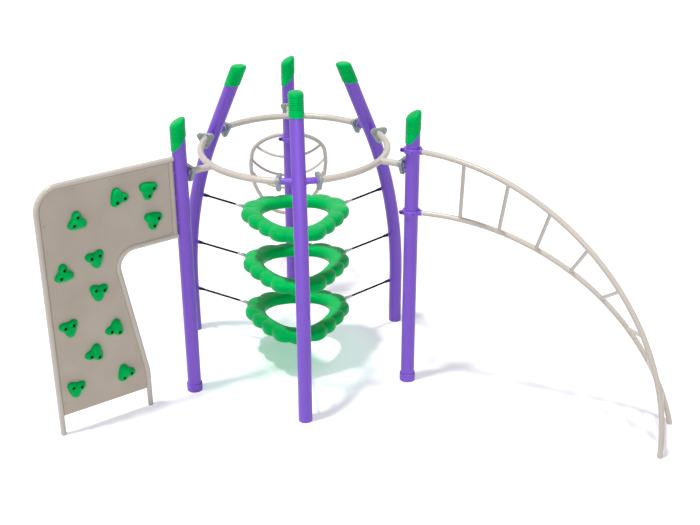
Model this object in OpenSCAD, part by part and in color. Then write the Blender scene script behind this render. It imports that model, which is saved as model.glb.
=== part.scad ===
// Playground climber: six tube posts stand in a circle and carry a top ring.
// A climbing wall, an arched ladder and a looped climber lean on the straight
// posts. Three moulded rings hang between the bent posts on taut ropes.
// The frame's origin is the centre of the circle of posts, on the ground.

/* [Posts] */
// Outer diameter of the post tubes
post_d = 127; // [110:1:140]
// Wall of the post tubes
post_wall = 3.2; // [2.5:0.1:6]
// Radius of the circle that the bent posts stand on
bent_foot_r = 1204; // [1190:1:1260]
// Radius of the circle that the straight posts stand on
straight_foot_r = 1172; // [1150:1:1260]
// Height at which the bent posts start to curve inwards
bend_start_z = 550; // [450:10:650]
// Radius of the bent posts' curve
bend_r = 4060; // [3800:10:4300]
// Lean of the bent posts above their curve, in degrees
bend_angle = 24; // [22:1:26]
// Length of the leaning straight stretch, up to the cap's top
lean_len = 754; // [650:1:800]
// Clear length of a straight post between what is clamped to it and its cap
cap_gap = 17; // [10:1:80]
// Height of the sleeves round the feet of the straight posts
sleeve_h = 75; // [40:1:120]
// Wall of the foot sleeves
sleeve_wall = 10; // [6:0.5:16]

/* [Caps] */
// Length of a cap along its post
cap_len = 210; // [190:1:260]
// Slant of the top of a straight post's cap, in degrees
cap_slant = 28; // [15:1:40]
// Slant of the lower rim of a straight post's cap, in degrees
cap_rim = 50; // [20:1:52]
// Wall of a cap's skirt
cap_wall = 5.5; // [4:0.5:8]
// Rounding of a cap's top edge
cap_round = 26; // [12:1:28]
// Thickness of a cap above the post's end
cap_roof = 10; // [8:1:14]
// Number of grooves round a cap
cap_grooves = 3; // [0:1:4]
// Spacing of the grooves
groove_pitch = 24; // [18:1:26]
// Direction that the straight posts' caps slope down to, in degrees
cap_turn = 192; // [0:1:360]

/* [Top ring] */
// Height of the top ring's centre line
ring_z = 2192; // [2150:1:2230]
// Outer diameter of the ring's tubes and of the stubs that carry it
ring_d = 60.3; // [48:0.1:64]
// Wall of the ring, wall and climber tubes
tube_wall = 3; // [2:0.1:5]
// Distance along the ring from a bent post's axis to its flange joints
ring_stub = 175; // [150:1:200]
// Gap between a straight post and its flange joint
branch_stub = 30; // [28:1:45]
// Thickness of one flange plate
flange_t = 16; // [10:1:18]
// Width of a flange plate
flange_w = 165; // [160:1:200]
// Height of a flange plate
flange_h = 148; // [145:1:180]
// Corner radius of a flange plate
flange_r = 25; // [20:1:30]
// Diameter of the flange bolts
bolt_d = 12; // [8:1:14]

/* [Climbing wall] */
// Outer diameter of the wall's tubes
tube_d = 48.3; // [42:0.1:54]
// Distance from the post's axis to the outer leg
wall_out_s = 1320; // [1200:1:1400]
// Distance from the post's axis to the inner leg
wall_in_s = 465; // [420:1:480]
// Distance from the post's axis to the upright beside it
wall_post_s = 91; // [90:1:130]
// Height of the top rail's centre line
wall_top_z = 2342; // [2300:1:2360]
// Height of the lower arm's centre line
wall_arm_z = 1622; // [1560:1:1680]
// Height of the lower edge of the sheet
wall_low_z = 190; // [150:1:250]
// Height of the kink in the inner leg
wall_kink_z = 370; // [340:1:420]
// Lean of the inner leg above its kink, in degrees
wall_lean = 10; // [7:1:12]
// Bend radius of the outer corner
wall_corner_r = 210; // [150:1:260]
// Bend radius under the lower arm
wall_arm_r = 165; // [130:1:200]
// Bend radius of the kink
wall_kink_r = 300; // [200:10:400]
// Thickness of the climbing sheet
sheet_t = 15; // [12:0.5:19]
// Distance between the two bolts of a climbing hold
hold_bolts_w = 76; // [70:1:80]
// Mean radius of a climbing hold
hold_r = 74; // [70:1:80]
// Height of a climbing hold
hold_h = 52; // [40:1:60]
// Depth of the lobes of a hold's outline, as a share of its mean radius
hold_lobe = 0.25; // [0.1:0.01:0.3]

/* [Ladder] */
// Diameter of the ladder's rails
rail_d = 48.3; // [42:0.1:50]
// Diameter of the ladder's rungs
rung_d = 33.7; // [26:0.1:36]
// Number of rungs
rung_count = 8; // [5:1:8]
// Height at which the upper rail leaves the post
rail_up_z = 2341; // [2300:1:2370]
// Height at which the lower rail leaves the post
rail_low_z = 1753; // [1700:1:1800]
// Length of a rail that runs straight before its curve
rail_run = 95; // [60:1:150]
// Curve of the upper rail
rail_up_r = 2309; // [2250:1:2450]
// Curve of the lower rail
rail_low_r = 2368; // [2300:1:2550]
// Turn of each rail away from the post's radial direction, in degrees
rail_turn = 6.5; // [5.5:0.1:8]
// Angle to the first rung on the upper rail's curve
rung_first_up = 8; // [6:0.1:11]
// Angle between rungs on the upper rail's curve
rung_step_up = 10.8; // [9.5:0.1:11]
// Angle to the first rung on the lower rail's curve
rung_first_low = 6.5; // [5:0.1:9]
// Angle between rungs on the lower rail's curve
rung_step_low = 8.7; // [7.8:0.1:8.8]
// Height of a clamp collar
collar_h = 45; // [38:1:60]
// Wall of a clamp collar
collar_wall = 18; // [14:1:22]

/* [Looped climber] */
// Diameter of the loop's tube and of its leg
loop_d = 42.2; // [38:0.1:48.3]
// Distance from the post's axis to the top of the loop
loop_top_s = 130; // [125:1:160]
// Height of the loop's top
loop_top_z = 1845; // [1780:5:1900]
// Length of the loop down its slope
loop_len = 1600; // [1550:5:1650]
// Slope of the loop from the vertical, in degrees
loop_slope = 36; // [30:1:42]
// Radius of the loop's upper end
loop_up_r = 385; // [360:1:410]
// Radius of the loop's sides
loop_side_r = 1900; // [1700:10:2200]
// Radius of the loop's lower end
loop_low_r = 202; // [180:1:260]
// Distance down the slope to the first bowed rung
loop_rung_x = 205; // [190:5:230]
// Distance between bowed rungs
loop_rung_step = 242; // [230:1:260]
// Number of bowed rungs
loop_rungs = 3; // [2:1:4]
// Curve of the bowed rungs
loop_rung_r = 465; // [440:5:520]
// Diameter of the bowed rungs
bow_d = 26.7; // [24:0.1:34]

/* [Hanging rings] */
// Height of the middle of the top hanging ring
disc_top_z = 1490; // [1450:5:1520]
// Vertical distance between hanging rings
disc_pitch = 525; // [500:5:540]
// Thickness of a hanging ring
disc_t = 110; // [90:1:130]
// Mean outer radius
disc_out_r = 488; // [470:1:500]
// Mean radius of the hole
disc_in_r = 312; // [290:1:330]
// How far the outer corners stand out from the mean radius
disc_out_lobe = 54; // [40:1:60]
// How far the hole's corners stand out from its mean radius
disc_in_lobe = 22; // [10:1:30]
// Depth of the scallops round the rim
scallop = 26; // [0:1:30]
// Number of scallops round the rim, a multiple of three
scallops = 15; // [12:3:24]
// Radius at which the ropes meet the ring's eye plates
disc_eye_r = 580; // [575:1:590]
// Diameter of the ropes
rope_d = 18; // [14:1:20]
// Height that a rope rises from its ring to its post
rope_rise = 42; // [30:1:55]
// Distance from a post's face to the rope's pin
lug_reach = 30; // [28:1:36]
// Diameter of the ropes' pins
pin_d = 12; // [10:1:14]

/* [Hidden] */

$fn = 64;
// Clearance between pieces that are fitted together
fit = 0.3;
// Overshoot of a cut past the face that it opens
over = 1;
// Directions of the posts round the circle
BENT_FRONT = -90;
BENT_RIGHT = 30;
BENT_LEFT = 150;
STRAIGHT_RIGHT = -30;
STRAIGHT_BACK = 90;
STRAIGHT_LEFT = 210;
BENT = [BENT_FRONT, BENT_RIGHT, BENT_LEFT];
STRAIGHT = [STRAIGHT_LEFT, STRAIGHT_RIGHT, STRAIGHT_BACK];
SECTOR = 120;

post_r = post_d / 2;
tube_r = tube_d / 2;
rail_r = rail_d / 2;
cap_r = post_r + cap_wall;
// Length that a post tube stops short of the middle of its cap's top
function cap_head(slant) = cap_r * tan(slant) + cap_roof;
bend_end_z = bend_start_z + bend_r * sin(bend_angle);
// Height of the straight posts, up to the middle of the cap's top
straight_h = max(rail_up_z + collar_h / 2, wall_top_z + tube_r) + cap_gap + cap_r * tan(cap_rim) + cap_len;

// Distance of a bent post's axis from the centre at height z, and its lean there
function bent_lean(z) = z < bend_start_z ? 0 : z < bend_end_z ? asin((z - bend_start_z) / bend_r)
    : bend_angle;
function bent_axis(z) = bent_foot_r - bend_r * (1 - cos(bent_lean(z)))
    - max(0, z - bend_end_z) * tan(bend_angle);

ring_r = bent_axis(ring_z);
ring_stub_a = ring_stub / ring_r * 180 / PI;
branch_r = straight_foot_r - post_r - branch_stub;
// Gap between the tube ends inside a flange joint, half of it
end_gap = 1;

// Points of an arc in a plane, from angle a to angle b
function arc(c, r, a, b, n) = [for (i = [0:n]) c + r * [cos(a + (b - a) * i / n), sin(a + (b - a) * i / n)]];

// A round profile with a bore
module tube_profile(d, wall) {
    difference() {
        circle(d = d);
        if (wall > 0) circle(d = d - 2 * wall);
    }
}

// Half the length of a weld bead, and how far it stands out of a tube's faces
bead_l = 2;
bead_h = 0.6;
// Root gap between the butted stretches of a welded tube, which its beads fill
bead_gap = 0.05;
function gap_angle(r) = bead_gap / r * 180 / PI;

// A weld bead round a tube that runs along Z
module weld_bead(d, wall) {
    translate([0, 0, -bead_l]) linear_extrude(2 * bead_l)
        tube_profile(d + 2 * bead_h, wall > 0 ? wall + 2 * bead_h : 0);
}

// A bent tube that starts at the origin along +Z. Each stretch is [length, 0] for a
// straight one or [radius, angle] for a bend towards +X, or -X where it is negative.
module bent_tube(path, d, wall, welded = false, i = 0) {
    if (i < len(path)) {
        size = path[i][0];
        turn = path[i][1];
        side = turn < 0 ? -1 : 1;
        if (turn == 0) {
            linear_extrude(size) tube_profile(d, wall);
            translate([0, 0, size]) bent_tube(path, d, wall, welded, i + 1);
        } else {
            trim = welded ? gap_angle(size) : 0;
            if (welded && i > 0) weld_bead(d, wall);
            translate([side * size, 0, 0]) {
                rotate([90, 0, 0]) rotate([0, 0, (side > 0 ? 180 - turn : 0) + trim])
                    rotate_extrude(angle = abs(turn) - 2 * trim, $fn = 360)
                        translate([size, 0]) tube_profile(d, wall);
                rotate([0, turn, 0]) translate([-side * size, 0, 0]) {
                    if (welded && i < len(path) - 1) weld_bead(d, wall);
                    bent_tube(path, d, wall, welded, i + 1);
                }
            }
        }
    }
}

// A straight round bar or tube from point p to point q
module bar(p, q, d, wall = 0) {
    v = q - p;
    translate(p) rotate([0, acos(v[2] / norm(v)), atan2(v[1], v[0])])
        linear_extrude(norm(v)) tube_profile(d, wall);
}

// A part of a flat ring of tube round the Z axis, centred on the X axis
module ring_part(r, d, angle, wall = 0) {
    rotate([0, 0, -angle / 2]) rotate_extrude(angle = angle, $fn = 360) translate([r, 0]) tube_profile(d,
        wall);
}

// A hexagon head or nut along +Z
module hexagon(across, h) {
    cylinder(d = across / cos(30), h = h, $fn = 6);
}

// Places a piece at a post: X points away from the circle's centre
module at_post(azimuth, foot_r) {
    rotate([0, 0, azimuth]) translate([foot_r, 0, 0]) children();
}

// A bolt along +Z whose head sits below z = 0 and whose nut sits above z = grip
module bolt(d, grip, head_h, nut_h) {
    across = 1.6 * d;
    translate([0, 0, -head_h]) hexagon(across, head_h);
    cylinder(d = d, h = grip + nut_h + d / 4);
    translate([0, 0, grip]) hexagon(across, nut_h);
}

function height_of(level) = disc_top_z - level * disc_pitch;
// Where the rope of a hanging ring is pinned to a bent post
function pin_z(level) = height_of(level) + rope_rise;
function pin_r(level) = bent_axis(pin_z(level)) - post_r / cos(bent_lean(pin_z(level))) - lug_reach;

lug_t = 10;
lug_r = 18;
// Running clearance of a pin in a post's lug
pin_fit = 0.05;

// Lug on the inner face of a bent post, drawn in the post's own frame
module rope_lug(level) {
    x = pin_r(level) - bent_foot_r;
    depth = lug_reach + post_r;
    translate([x, 0, pin_z(level)]) {
        translate([0, -lug_t / 2, -lug_r]) cube([depth, lug_t, 2 * lug_r]);
        rotate([90, 0, 0]) cylinder(r = lug_r, h = lug_t, center = true);
    }
}

module bent_post(azimuth) {
    path = [[bend_start_z, 0], [bend_r, -bend_angle], [lean_len - cap_head(bend_angle), 0]];
    color("MediumPurple") at_post(azimuth, bent_foot_r) union() {
        bent_tube(path, post_d, post_wall, true);
        // The stub and the lugs end inside the wall of the post's tube
        difference() {
            union() {
                translate([-bent_foot_r, 0, ring_z])
                    ring_part(ring_r, ring_d, 2 * (ring_stub_a - end_gap / ring_r * 180 / PI), tube_wall);
                for (level = [0:2]) rope_lug(level);
            }
            bent_tube(path, post_d - post_wall, 0, true);
            for (level = [0:2])
                translate([pin_r(level) - bent_foot_r, 0, pin_z(level)]) rotate([90, 0, 0])
                    cylinder(d = pin_d + 2 * pin_fit, h = 2 * lug_t, center = true);
        }
    }
}

module straight_post(azimuth) {
    stub_len = straight_foot_r - branch_r - end_gap;
    color("MediumPurple") at_post(azimuth, straight_foot_r) difference() {
        union() {
            cylinder(d = post_d, h = straight_h - cap_head(cap_slant));
            bar([0, 0, ring_z], [-stub_len, 0, ring_z], ring_d);
        }
        translate([0, 0, -over]) cylinder(d = post_d - 2 * post_wall, h = straight_h);
        bar([-post_r - over, 0, ring_z], [-stub_len - over, 0, ring_z], ring_d - 2 * tube_wall);
    }
}

module foot_sleeves() {
    chamfer = sleeve_wall / 2;
    inner = post_r + fit;
    outer = post_r + sleeve_wall;
    color("MediumPurple") for (a = STRAIGHT) at_post(a, straight_foot_r) rotate_extrude()
        polygon([[inner, 0], [outer, 0], [outer, sleeve_h - chamfer], [outer - chamfer, sleeve_h],
            [inner, sleeve_h]]);
}

// A thin disc that slopes down towards +X
module slanted_disc(r, z, slant) {
    multmatrix([[1, 0, 0, 0], [0, 1, 0, 0], [-tan(slant), 0, 1, z], [0, 0, 0, 1]])
        cylinder(r = r, h = 0.05, $fn = 36);
}

// A cap whose slanted top has its middle at the origin, with the post below it
module cap(slant, rim) {
    rings = 4;
    top_gap = 0.6;
    groove_mid = -cap_len / 2 + cap_round / 4;
    color("MediumSeaGreen") difference() {
        hull() {
            slanted_disc(cap_r, -cap_len, rim);
            for (i = [0:rings]) slanted_disc(cap_r - cap_round * (1 - cos(90 * i / rings)),
                -cap_round * (1 - sin(90 * i / rings)), slant);
            slanted_disc(cap_r * 0.35, cap_round * 0.15, slant);
        }
        translate([0, 0, -2 * cap_len - cap_head(slant) + top_gap]) cylinder(r = post_r + fit,
            h = 2 * cap_len);
        if (cap_grooves > 0) for (i = [0:cap_grooves - 1])
            translate([0, 0, groove_mid + (i - (cap_grooves - 1) / 2) * groove_pitch]) rotate_extrude()
                translate([cap_r + 1, 0]) circle(d = 5, $fn = 16);
    }
}

// A bent post's cap is cut level
module bent_cap(azimuth) {
    x = -bend_r * (1 - cos(bend_angle));
    at_post(azimuth, bent_foot_r) translate([x, 0, bend_end_z]) rotate([0, -bend_angle, 0])
        translate([0, 0, lean_len]) cap(bend_angle, bend_angle);
}

module straight_cap(azimuth) {
    at_post(azimuth, straight_foot_r) translate([0, 0, straight_h]) rotate([0, 0, cap_turn - azimuth])
        cap(cap_slant, cap_rim);
}

// One third of the top ring, with its branch to a straight post
module ring_arc(azimuth) {
    end_a = end_gap / ring_r * 180 / PI;
    angle = SECTOR - 2 * ring_stub_a - 2 * end_a;
    color("Tan") rotate([0, 0, azimuth]) translate([0, 0, ring_z]) difference() {
        union() {
            ring_part(ring_r, ring_d, angle);
            bar([ring_r, 0, 0], [branch_r - end_gap, 0, 0], ring_d);
        }
        ring_part(ring_r, ring_d - 2 * tube_wall, angle + 1);
        bar([ring_r, 0, 0], [branch_r, 0, 0], ring_d - 2 * tube_wall);
    }
}

// The corners of a flange plate: two above the tube and one below it
flange_top = flange_h * 0.37;
flange_corners = [[-flange_w / 2 + flange_r, flange_top - flange_r], [flange_w / 2 - flange_r,
    flange_top - flange_r],
    [0, flange_top - flange_h + flange_r]];

// The straight edges of a plate whose round corners lie at points p, taken clockwise
function edge_points(p, r) = [for (i = [0:len(p) - 1]) let (a = p[i], b = p[(i + 1) % len(p)], v = b - a,
    n = [-v[1], v[0]] / norm(v) * r) each [a + n, b + n]];

module rounded_plate(p, r, t) {
    linear_extrude(t) {
        polygon(edge_points(p, r));
        for (c = p) translate(c) circle(r);
    }
}

// Places children at each flange joint: +Z points from the post to the ring, +Y up
module at_flange_joints() {
    for (a = BENT, side = [-1, 1]) rotate([0, 0, a + side * ring_stub_a]) translate([ring_r, 0, ring_z])
        rotate([90, 0, side > 0 ? 180 : 0]) children();
    for (a = STRAIGHT) rotate([0, 0, a]) translate([branch_r, 0, ring_z]) rotate([90, 0, -90]) children();
}

module flange_plate() {
    difference() {
        rounded_plate(flange_corners, flange_r, flange_t);
        translate([0, 0, -over]) cylinder(d = ring_d + 2 * fit, h = flange_t + 2 * over);
        for (c = flange_corners) translate([c[0], c[1], -over])
            cylinder(d = bolt_d + 2 * fit, h = flange_t + 2 * over);
    }
}

module arc_flanges() {
    color("DarkGray") at_flange_joints() flange_plate();
}

module post_flanges() {
    color("DarkGray") at_flange_joints() translate([0, 0, -flange_t]) flange_plate();
}

module flange_bolts() {
    head_h = bolt_d * 0.55;
    color("Silver") at_flange_joints() for (c = flange_corners)
        translate([c[0], c[1], -flange_t]) bolt(bolt_d, 2 * flange_t, head_h, bolt_d * 0.7);
}

// The wall's frame, drawn beside its post: X is the distance from the post's axis
wall_end_s = wall_post_s - tube_r;
wall_bend_a = 90 + wall_lean;
wall_bend_len = wall_arm_r * tan(wall_bend_a / 2);
wall_kink_len = wall_kink_r * tan(wall_lean / 2);
// The point where the leaning leg and the lower arm would cross
wall_cross_s = wall_in_s + (wall_arm_z - wall_kink_z) * tan(wall_lean);

module at_wall() {
    at_post(STRAIGHT_LEFT, straight_foot_r) children();
}

module wall_tube_outer() {
    color("Tan") at_wall() translate([wall_out_s, 0, 0]) bent_tube([[wall_top_z - wall_corner_r, 0],
        [wall_corner_r, -90], [wall_out_s - wall_corner_r - wall_end_s, 0]], tube_d, tube_wall);
}

module wall_tube_inner() {
    slope_len = (wall_arm_z - wall_kink_z) / cos(wall_lean) - wall_kink_len - wall_bend_len;
    color("Tan") at_wall() translate([wall_in_s, 0, 0]) bent_tube([[wall_kink_z - wall_kink_len, 0],
        [wall_kink_r, wall_lean], [slope_len, 0], [wall_arm_r, -wall_bend_a],
        [wall_cross_s - wall_bend_len - wall_end_s, 0]], tube_d, tube_wall, true);
}

// The short upright beside the post, shaped to sit against the rail and the arm
module wall_upright() {
    color("Tan") at_wall() difference() {
        bar([wall_post_s, 0, wall_arm_z], [wall_post_s, 0, wall_top_z], tube_d, tube_wall);
        bar([-post_d, 0, wall_top_z], [3 * post_d, 0, wall_top_z], tube_d + fit);
        bar([-post_d, 0, wall_arm_z], [3 * post_d, 0, wall_arm_z], tube_d + fit);
    }
}

module wall_standoffs() {
    standoff_d = 36;
    rows = 3;
    low = wall_arm_z + post_d;
    high = wall_top_z - post_d;
    color("MediumPurple") at_wall() difference() {
        for (i = [0:rows - 1]) translate([0, 0, low + (high - low) * i / (rows - 1)])
            bar([0, 0, 0], [wall_post_s, 0, 0], standoff_d);
        cylinder(d = post_d + fit, h = straight_h);
        translate([wall_post_s, 0, 0]) cylinder(d = tube_d + fit, h = straight_h);
    }
}

// Outline of the sheet, clear of the tubes and their weld beads
sheet_inset = tube_r + bead_h + fit;
function sheet_outline() = concat(
    [[wall_in_s + sheet_inset, wall_low_z], [wall_out_s - sheet_inset, wall_low_z]],
    arc([wall_out_s - wall_corner_r, wall_top_z - wall_corner_r], wall_corner_r - sheet_inset, 0, 90, 16),
    [[wall_post_s + sheet_inset, wall_top_z - sheet_inset], [wall_post_s + sheet_inset, wall_arm_z
        + sheet_inset]],
    arc([wall_cross_s - wall_bend_len, wall_arm_z - wall_arm_r], wall_arm_r + sheet_inset, 90,
        -wall_lean, 30),
    arc([wall_in_s + wall_kink_r, wall_kink_z - wall_kink_len], wall_kink_r - sheet_inset,
        180 - wall_lean, 180, 3));

// Tabs that hold the sheet to the tubes: [distance, height, direction to the tube]
tab_l = 52;
tab_w = 40;
tab_t = 5;
tab_bolt_d = 8;
// Distance of the first and the last tab from the corners of the sheet
tab_inset = 120;
function lean_s(z) = wall_in_s + (z - wall_kink_z) * tan(wall_lean);
// The two ends of a row of tabs and the point midway
function three(a, b) = [a, (a + b) / 2, b];
TABS = [
    for (z = three(wall_low_z + tab_inset, wall_top_z - wall_corner_r - tab_inset)) [wall_out_s, z, 0],
    for (s = three(wall_post_s + 2 * tab_inset, wall_out_s - wall_corner_r - tab_inset)) [s, wall_top_z, 90],
    for (z = [wall_kink_z + tab_inset, wall_arm_z - wall_bend_len - 2 * tab_inset]) [lean_s(z), z,
        180 - wall_lean],
    [wall_post_s, (wall_arm_z + wall_top_z) / 2, 180]];

// Places children at each tab's bolt: X points to the tube, Z to the front of the sheet
module at_tabs() {
    for (t = TABS) translate([t[0], 0, t[1]]) rotate([90, 0, 180]) rotate([0, 0, 180 - t[2]])
        translate([-tab_l, 0, 0]) children();
}

// The holds on the arm: [distance from the upright, distance below the top rail, turn]
// and on the leg: [distance from the outer leg, height above the sheet's edge, turn],
// where the turn is that of the line through the two bolts
ARM_HOLDS = [[215, 235, 128], [500, 245, 161], [190, 520, 127], [915, 335, -60]];
LEG_HOLDS = [[454, 1452, -8], [149, 1375, -63], [464, 1135, 9], [155, 872, -7],
    [567, 692, 198], [357, 509, 199], [642, 218, 161], [163, 265, 10]];
HOLDS = [for (h = ARM_HOLDS) [wall_post_s + h[0], wall_top_z - h[1], h[2]],
    for (h = LEG_HOLDS) [wall_out_s - h[0], wall_low_z + h[1], h[2]]];

// Places children at each hold: Z points out of the sheet's front, X along the bolts
module at_holds() {
    for (h = HOLDS) translate([h[0], sheet_t / 2, h[1]]) rotate([90, 0, 180]) rotate([0, 0, 180 - h[2]])
        children();
}

hold_bolt_d = 10;
hold_seat_h = 14;
hold_mid_y = hold_bolts_w / 2 / tan(60);

module wall_sheet() {
    color("Tan") at_wall() difference() {
        rotate([90, 0, 0]) translate([0, 0, -sheet_t / 2]) linear_extrude(sheet_t) polygon(sheet_outline());
        at_holds() for (x = [-1, 1]) translate([x * hold_bolts_w / 2, 0, -2 * sheet_t])
            cylinder(d = hold_bolt_d + 2 * fit, h = 3 * sheet_t);
        at_tabs() cylinder(d = tab_bolt_d + 2 * fit, h = 3 * sheet_t, center = true);
    }
}

module sheet_tabs() {
    reach = tab_l - sqrt(pow(tube_r, 2) - pow(sheet_t / 2, 2)) - fit;
    tail = tab_w / 2;
    color("Tan") at_wall() at_tabs() translate([0, 0, -sheet_t / 2 - tab_t]) difference() {
        translate([-tail, -tab_w / 2, 0]) cube([reach + tail, tab_w, tab_t]);
        translate([0, 0, -over]) cylinder(d = tab_bolt_d + 2 * fit, h = tab_t + 2 * over);
    }
}

module sheet_bolts() {
    head_h = 4;
    grip = sheet_t + tab_t;
    color("Silver") at_wall() at_tabs() translate([0, 0, -sheet_t / 2 - tab_t]) {
        translate([0, 0, grip]) cylinder(d1 = 2 * tab_bolt_d, d2 = tab_bolt_d, h = head_h);
        translate([0, 0, -tab_bolt_d]) cylinder(d = tab_bolt_d, h = grip + tab_bolt_d + head_h / 2);
        translate([0, 0, -0.8 * tab_bolt_d]) hexagon(1.6 * tab_bolt_d, 0.8 * tab_bolt_d);
    }
}

// A hold's outline has three lobes, and its crown is highest over the lobe without a bolt
hold_sides = 24;
function hold_edge(a) = hold_r * (1 + hold_lobe * cos(3 * (a - 90)));
function hold_crown(a) = hold_h * (0.86 + 0.08 * sin(a) + 0.06 * cos(3 * (a - 90)));
hold_rings = [[1, 0], [1.02, 0.2], [0.97, 0.5], [0.82, 0.8], [0.5, 0.97]];

module hold_shape() {
    n = hold_sides;
    last = len(hold_rings) - 1;
    points = [for (r = hold_rings, i = [0:n - 1]) let (a = 360 * i / n)
        [r[0] * hold_edge(a) * cos(a), r[0] * hold_edge(a) * sin(a), r[1] * hold_crown(a)],
        [0, 0, hold_h]];
    faces = [[for (i = [0:n - 1]) i],
        for (k = [0:last - 1], i = [0:n - 1]) let (j = (i + 1) % n) each
            [[k * n + i, k * n + n + i, k * n + n + j], [k * n + i, k * n + n + j, k * n + j]],
        for (i = [0:n - 1]) [last * n + i, (last + 1) * n, last * n + (i + 1) % n]];
    translate([0, hold_mid_y, 0]) polyhedron(points, faces);
}

module climbing_holds() {
    color("MediumSeaGreen") at_wall() at_holds() difference() {
        hold_shape();
        for (x = [-1, 1]) translate([x * hold_bolts_w / 2, 0, 0]) {
            translate([0, 0, -over]) cylinder(d = hold_bolt_d + 2 * fit, h = hold_h);
            translate([0, 0, hold_seat_h]) cylinder(d = 2.2 * hold_bolt_d, h = hold_h);
        }
    }
}

module hold_bolts() {
    nut_h = 8;
    color("DimGray") at_wall() at_holds() for (x = [-1, 1]) translate([x * hold_bolts_w / 2, 0, 0]) {
        translate([0, 0, hold_seat_h]) cylinder(d = 1.8 * hold_bolt_d, h = hold_bolt_d);
        translate([0, 0, -sheet_t - nut_h - 2]) cylinder(d = hold_bolt_d, h = sheet_t + nut_h + 2
            + hold_seat_h);
        translate([0, 0, -sheet_t - nut_h]) hexagon(1.6 * hold_bolt_d, nut_h);
    }
}

// The ladder's rails start in the sockets of their collars and curve down to the ground
socket_wall = 4;
socket_l = 12;
rail_start = post_r + collar_wall + socket_wall;
rail_shape_up = [rail_up_z, rail_up_r, -rail_turn];
rail_shape_low = [rail_low_z, rail_low_r, rail_turn];

module at_ladder() {
    at_post(STRAIGHT_RIGHT, straight_foot_r) children();
}

// A rail, cut level with the ground, from [height, curve, turn]
module rail_shape(shape, d, wall) {
    angle = acos((shape[1] - shape[0]) / shape[1]);
    spare = 2;
    rotate([0, 0, shape[2]]) difference() {
        translate([rail_start, 0, shape[0]]) rotate([0, 90, 0])
            bent_tube([[rail_run, 0], [shape[1], angle + spare]], d, wall, true);
        translate([0, -rail_d, -4 * post_d]) cube([2 * shape[1], 2 * rail_d, 4 * post_d]);
    }
}

module ladder_rail_upper() {
    color("Tan") at_ladder() rail_shape(rail_shape_up, rail_d, tube_wall);
}

module ladder_rail_lower() {
    color("Tan") at_ladder() rail_shape(rail_shape_low, rail_d, tube_wall);
}

// A point on a rail's centre line, at an angle along its curve
function rail_point(shape, a) = let (s = rail_start + rail_run + shape[1] * sin(a))
    [s * cos(shape[2]), s * sin(shape[2]), shape[0] - shape[1] * (1 - cos(a))];

module ladder_rungs() {
    color("Tan") at_ladder() difference() {
        for (i = [0:rung_count - 1]) bar(rail_point(rail_shape_up, rung_first_up + i * rung_step_up),
            rail_point(rail_shape_low, rung_first_low + i * rung_step_low), rung_d);
        rail_shape(rail_shape_up, rail_d + fit, 0);
        rail_shape(rail_shape_low, rail_d + fit, 0);
    }
}

// The looped climber, drawn with X down its slope, Y across and Z out of its back
loop_low_x = loop_len - loop_low_r;
loop_gap = loop_low_x - loop_up_r;
// Half the angles that the upper and the lower end span, where side arcs meet them smoothly
loop_up_a = acos((pow(loop_gap, 2) + pow(loop_side_r - loop_up_r, 2) - pow(loop_side_r - loop_low_r, 2))
    / (2 * loop_gap * (loop_side_r - loop_up_r)));
loop_low_a = acos((pow(loop_gap, 2) + pow(loop_side_r - loop_low_r, 2) - pow(loop_side_r - loop_up_r, 2))
    / (2 * loop_gap * (loop_side_r - loop_low_r)));
// Middle of the side arcs
loop_side_x = loop_up_r + (loop_side_r - loop_up_r) * cos(loop_up_a);
loop_side_y = (loop_side_r - loop_up_r) * sin(loop_up_a);

module at_climber() {
    at_post(STRAIGHT_BACK, straight_foot_r) children();
}

module on_slope() {
    translate([loop_top_s, 0, loop_top_z]) rotate([0, 90 - loop_slope, 0]) children();
}

// Four arcs that are welded into a loop where the tube is hollow
module loop_shape(d, wall = 0) {
    side_a = 180 - loop_up_a - loop_low_a;
    translate([loop_up_r, 0, 0]) rotate([0, 0, 180])
        ring_part(loop_up_r, d, 2 * (loop_up_a - gap_angle(loop_up_r)), wall);
    translate([loop_low_x, 0, 0]) ring_part(loop_low_r, d, 2 * (loop_low_a - gap_angle(loop_low_r)), wall);
    for (side = [-1, 1]) {
        translate([loop_side_x, -side * loop_side_y, 0]) rotate([0, 0, side * (loop_low_a + side_a / 2)])
            ring_part(loop_side_r, d, side_a - 2 * gap_angle(loop_side_r), wall);
        if (wall > 0)
            for (joint = [[loop_up_r, loop_up_r, 180 - loop_up_a], [loop_low_x, loop_low_r, loop_low_a]])
                translate([joint[0], 0, 0]) rotate([0, 0, side * joint[2]])
                    bar([joint[1], -bead_l, 0], [joint[1], bead_l, 0], d + 2 * bead_h, wall + 2 * bead_h);
    }
}

drain_d = 8;
drain_a = 25;

module loop_rail() {
    color("Tan") at_climber() on_slope() difference() {
        loop_shape(loop_d, tube_wall);
        translate([loop_low_x, 0, 0]) rotate([0, 0, drain_a])
            bar([loop_low_r, 0, 0], [loop_low_r + loop_d, 0, 0], drain_d);
    }
}

// Half the width of the loop at distance x down its slope
function loop_half(x) = x < loop_up_r * (1 - cos(loop_up_a)) ? sqrt(pow(loop_up_r, 2)
    - pow(x - loop_up_r, 2))
    : x < loop_low_x + loop_low_r * cos(loop_low_a)
    ? sqrt(pow(loop_side_r, 2) - pow(x - loop_side_x, 2)) - loop_side_y
    : sqrt(pow(loop_low_r, 2) - pow(x - loop_low_x, 2));

module loop_rungs_bowed() {
    color("Tan") at_climber() on_slope() difference() {
        for (i = [0:loop_rungs - 1]) {
            x = loop_rung_x + i * loop_rung_step;
            half = loop_half(x);
            translate([x, 0, sqrt(pow(loop_rung_r, 2) - pow(half, 2))]) rotate([0, 90, 0])
                ring_part(loop_rung_r, bow_d, 2 * asin(half / loop_rung_r));
        }
        loop_shape(loop_d + fit);
    }
}

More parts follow.
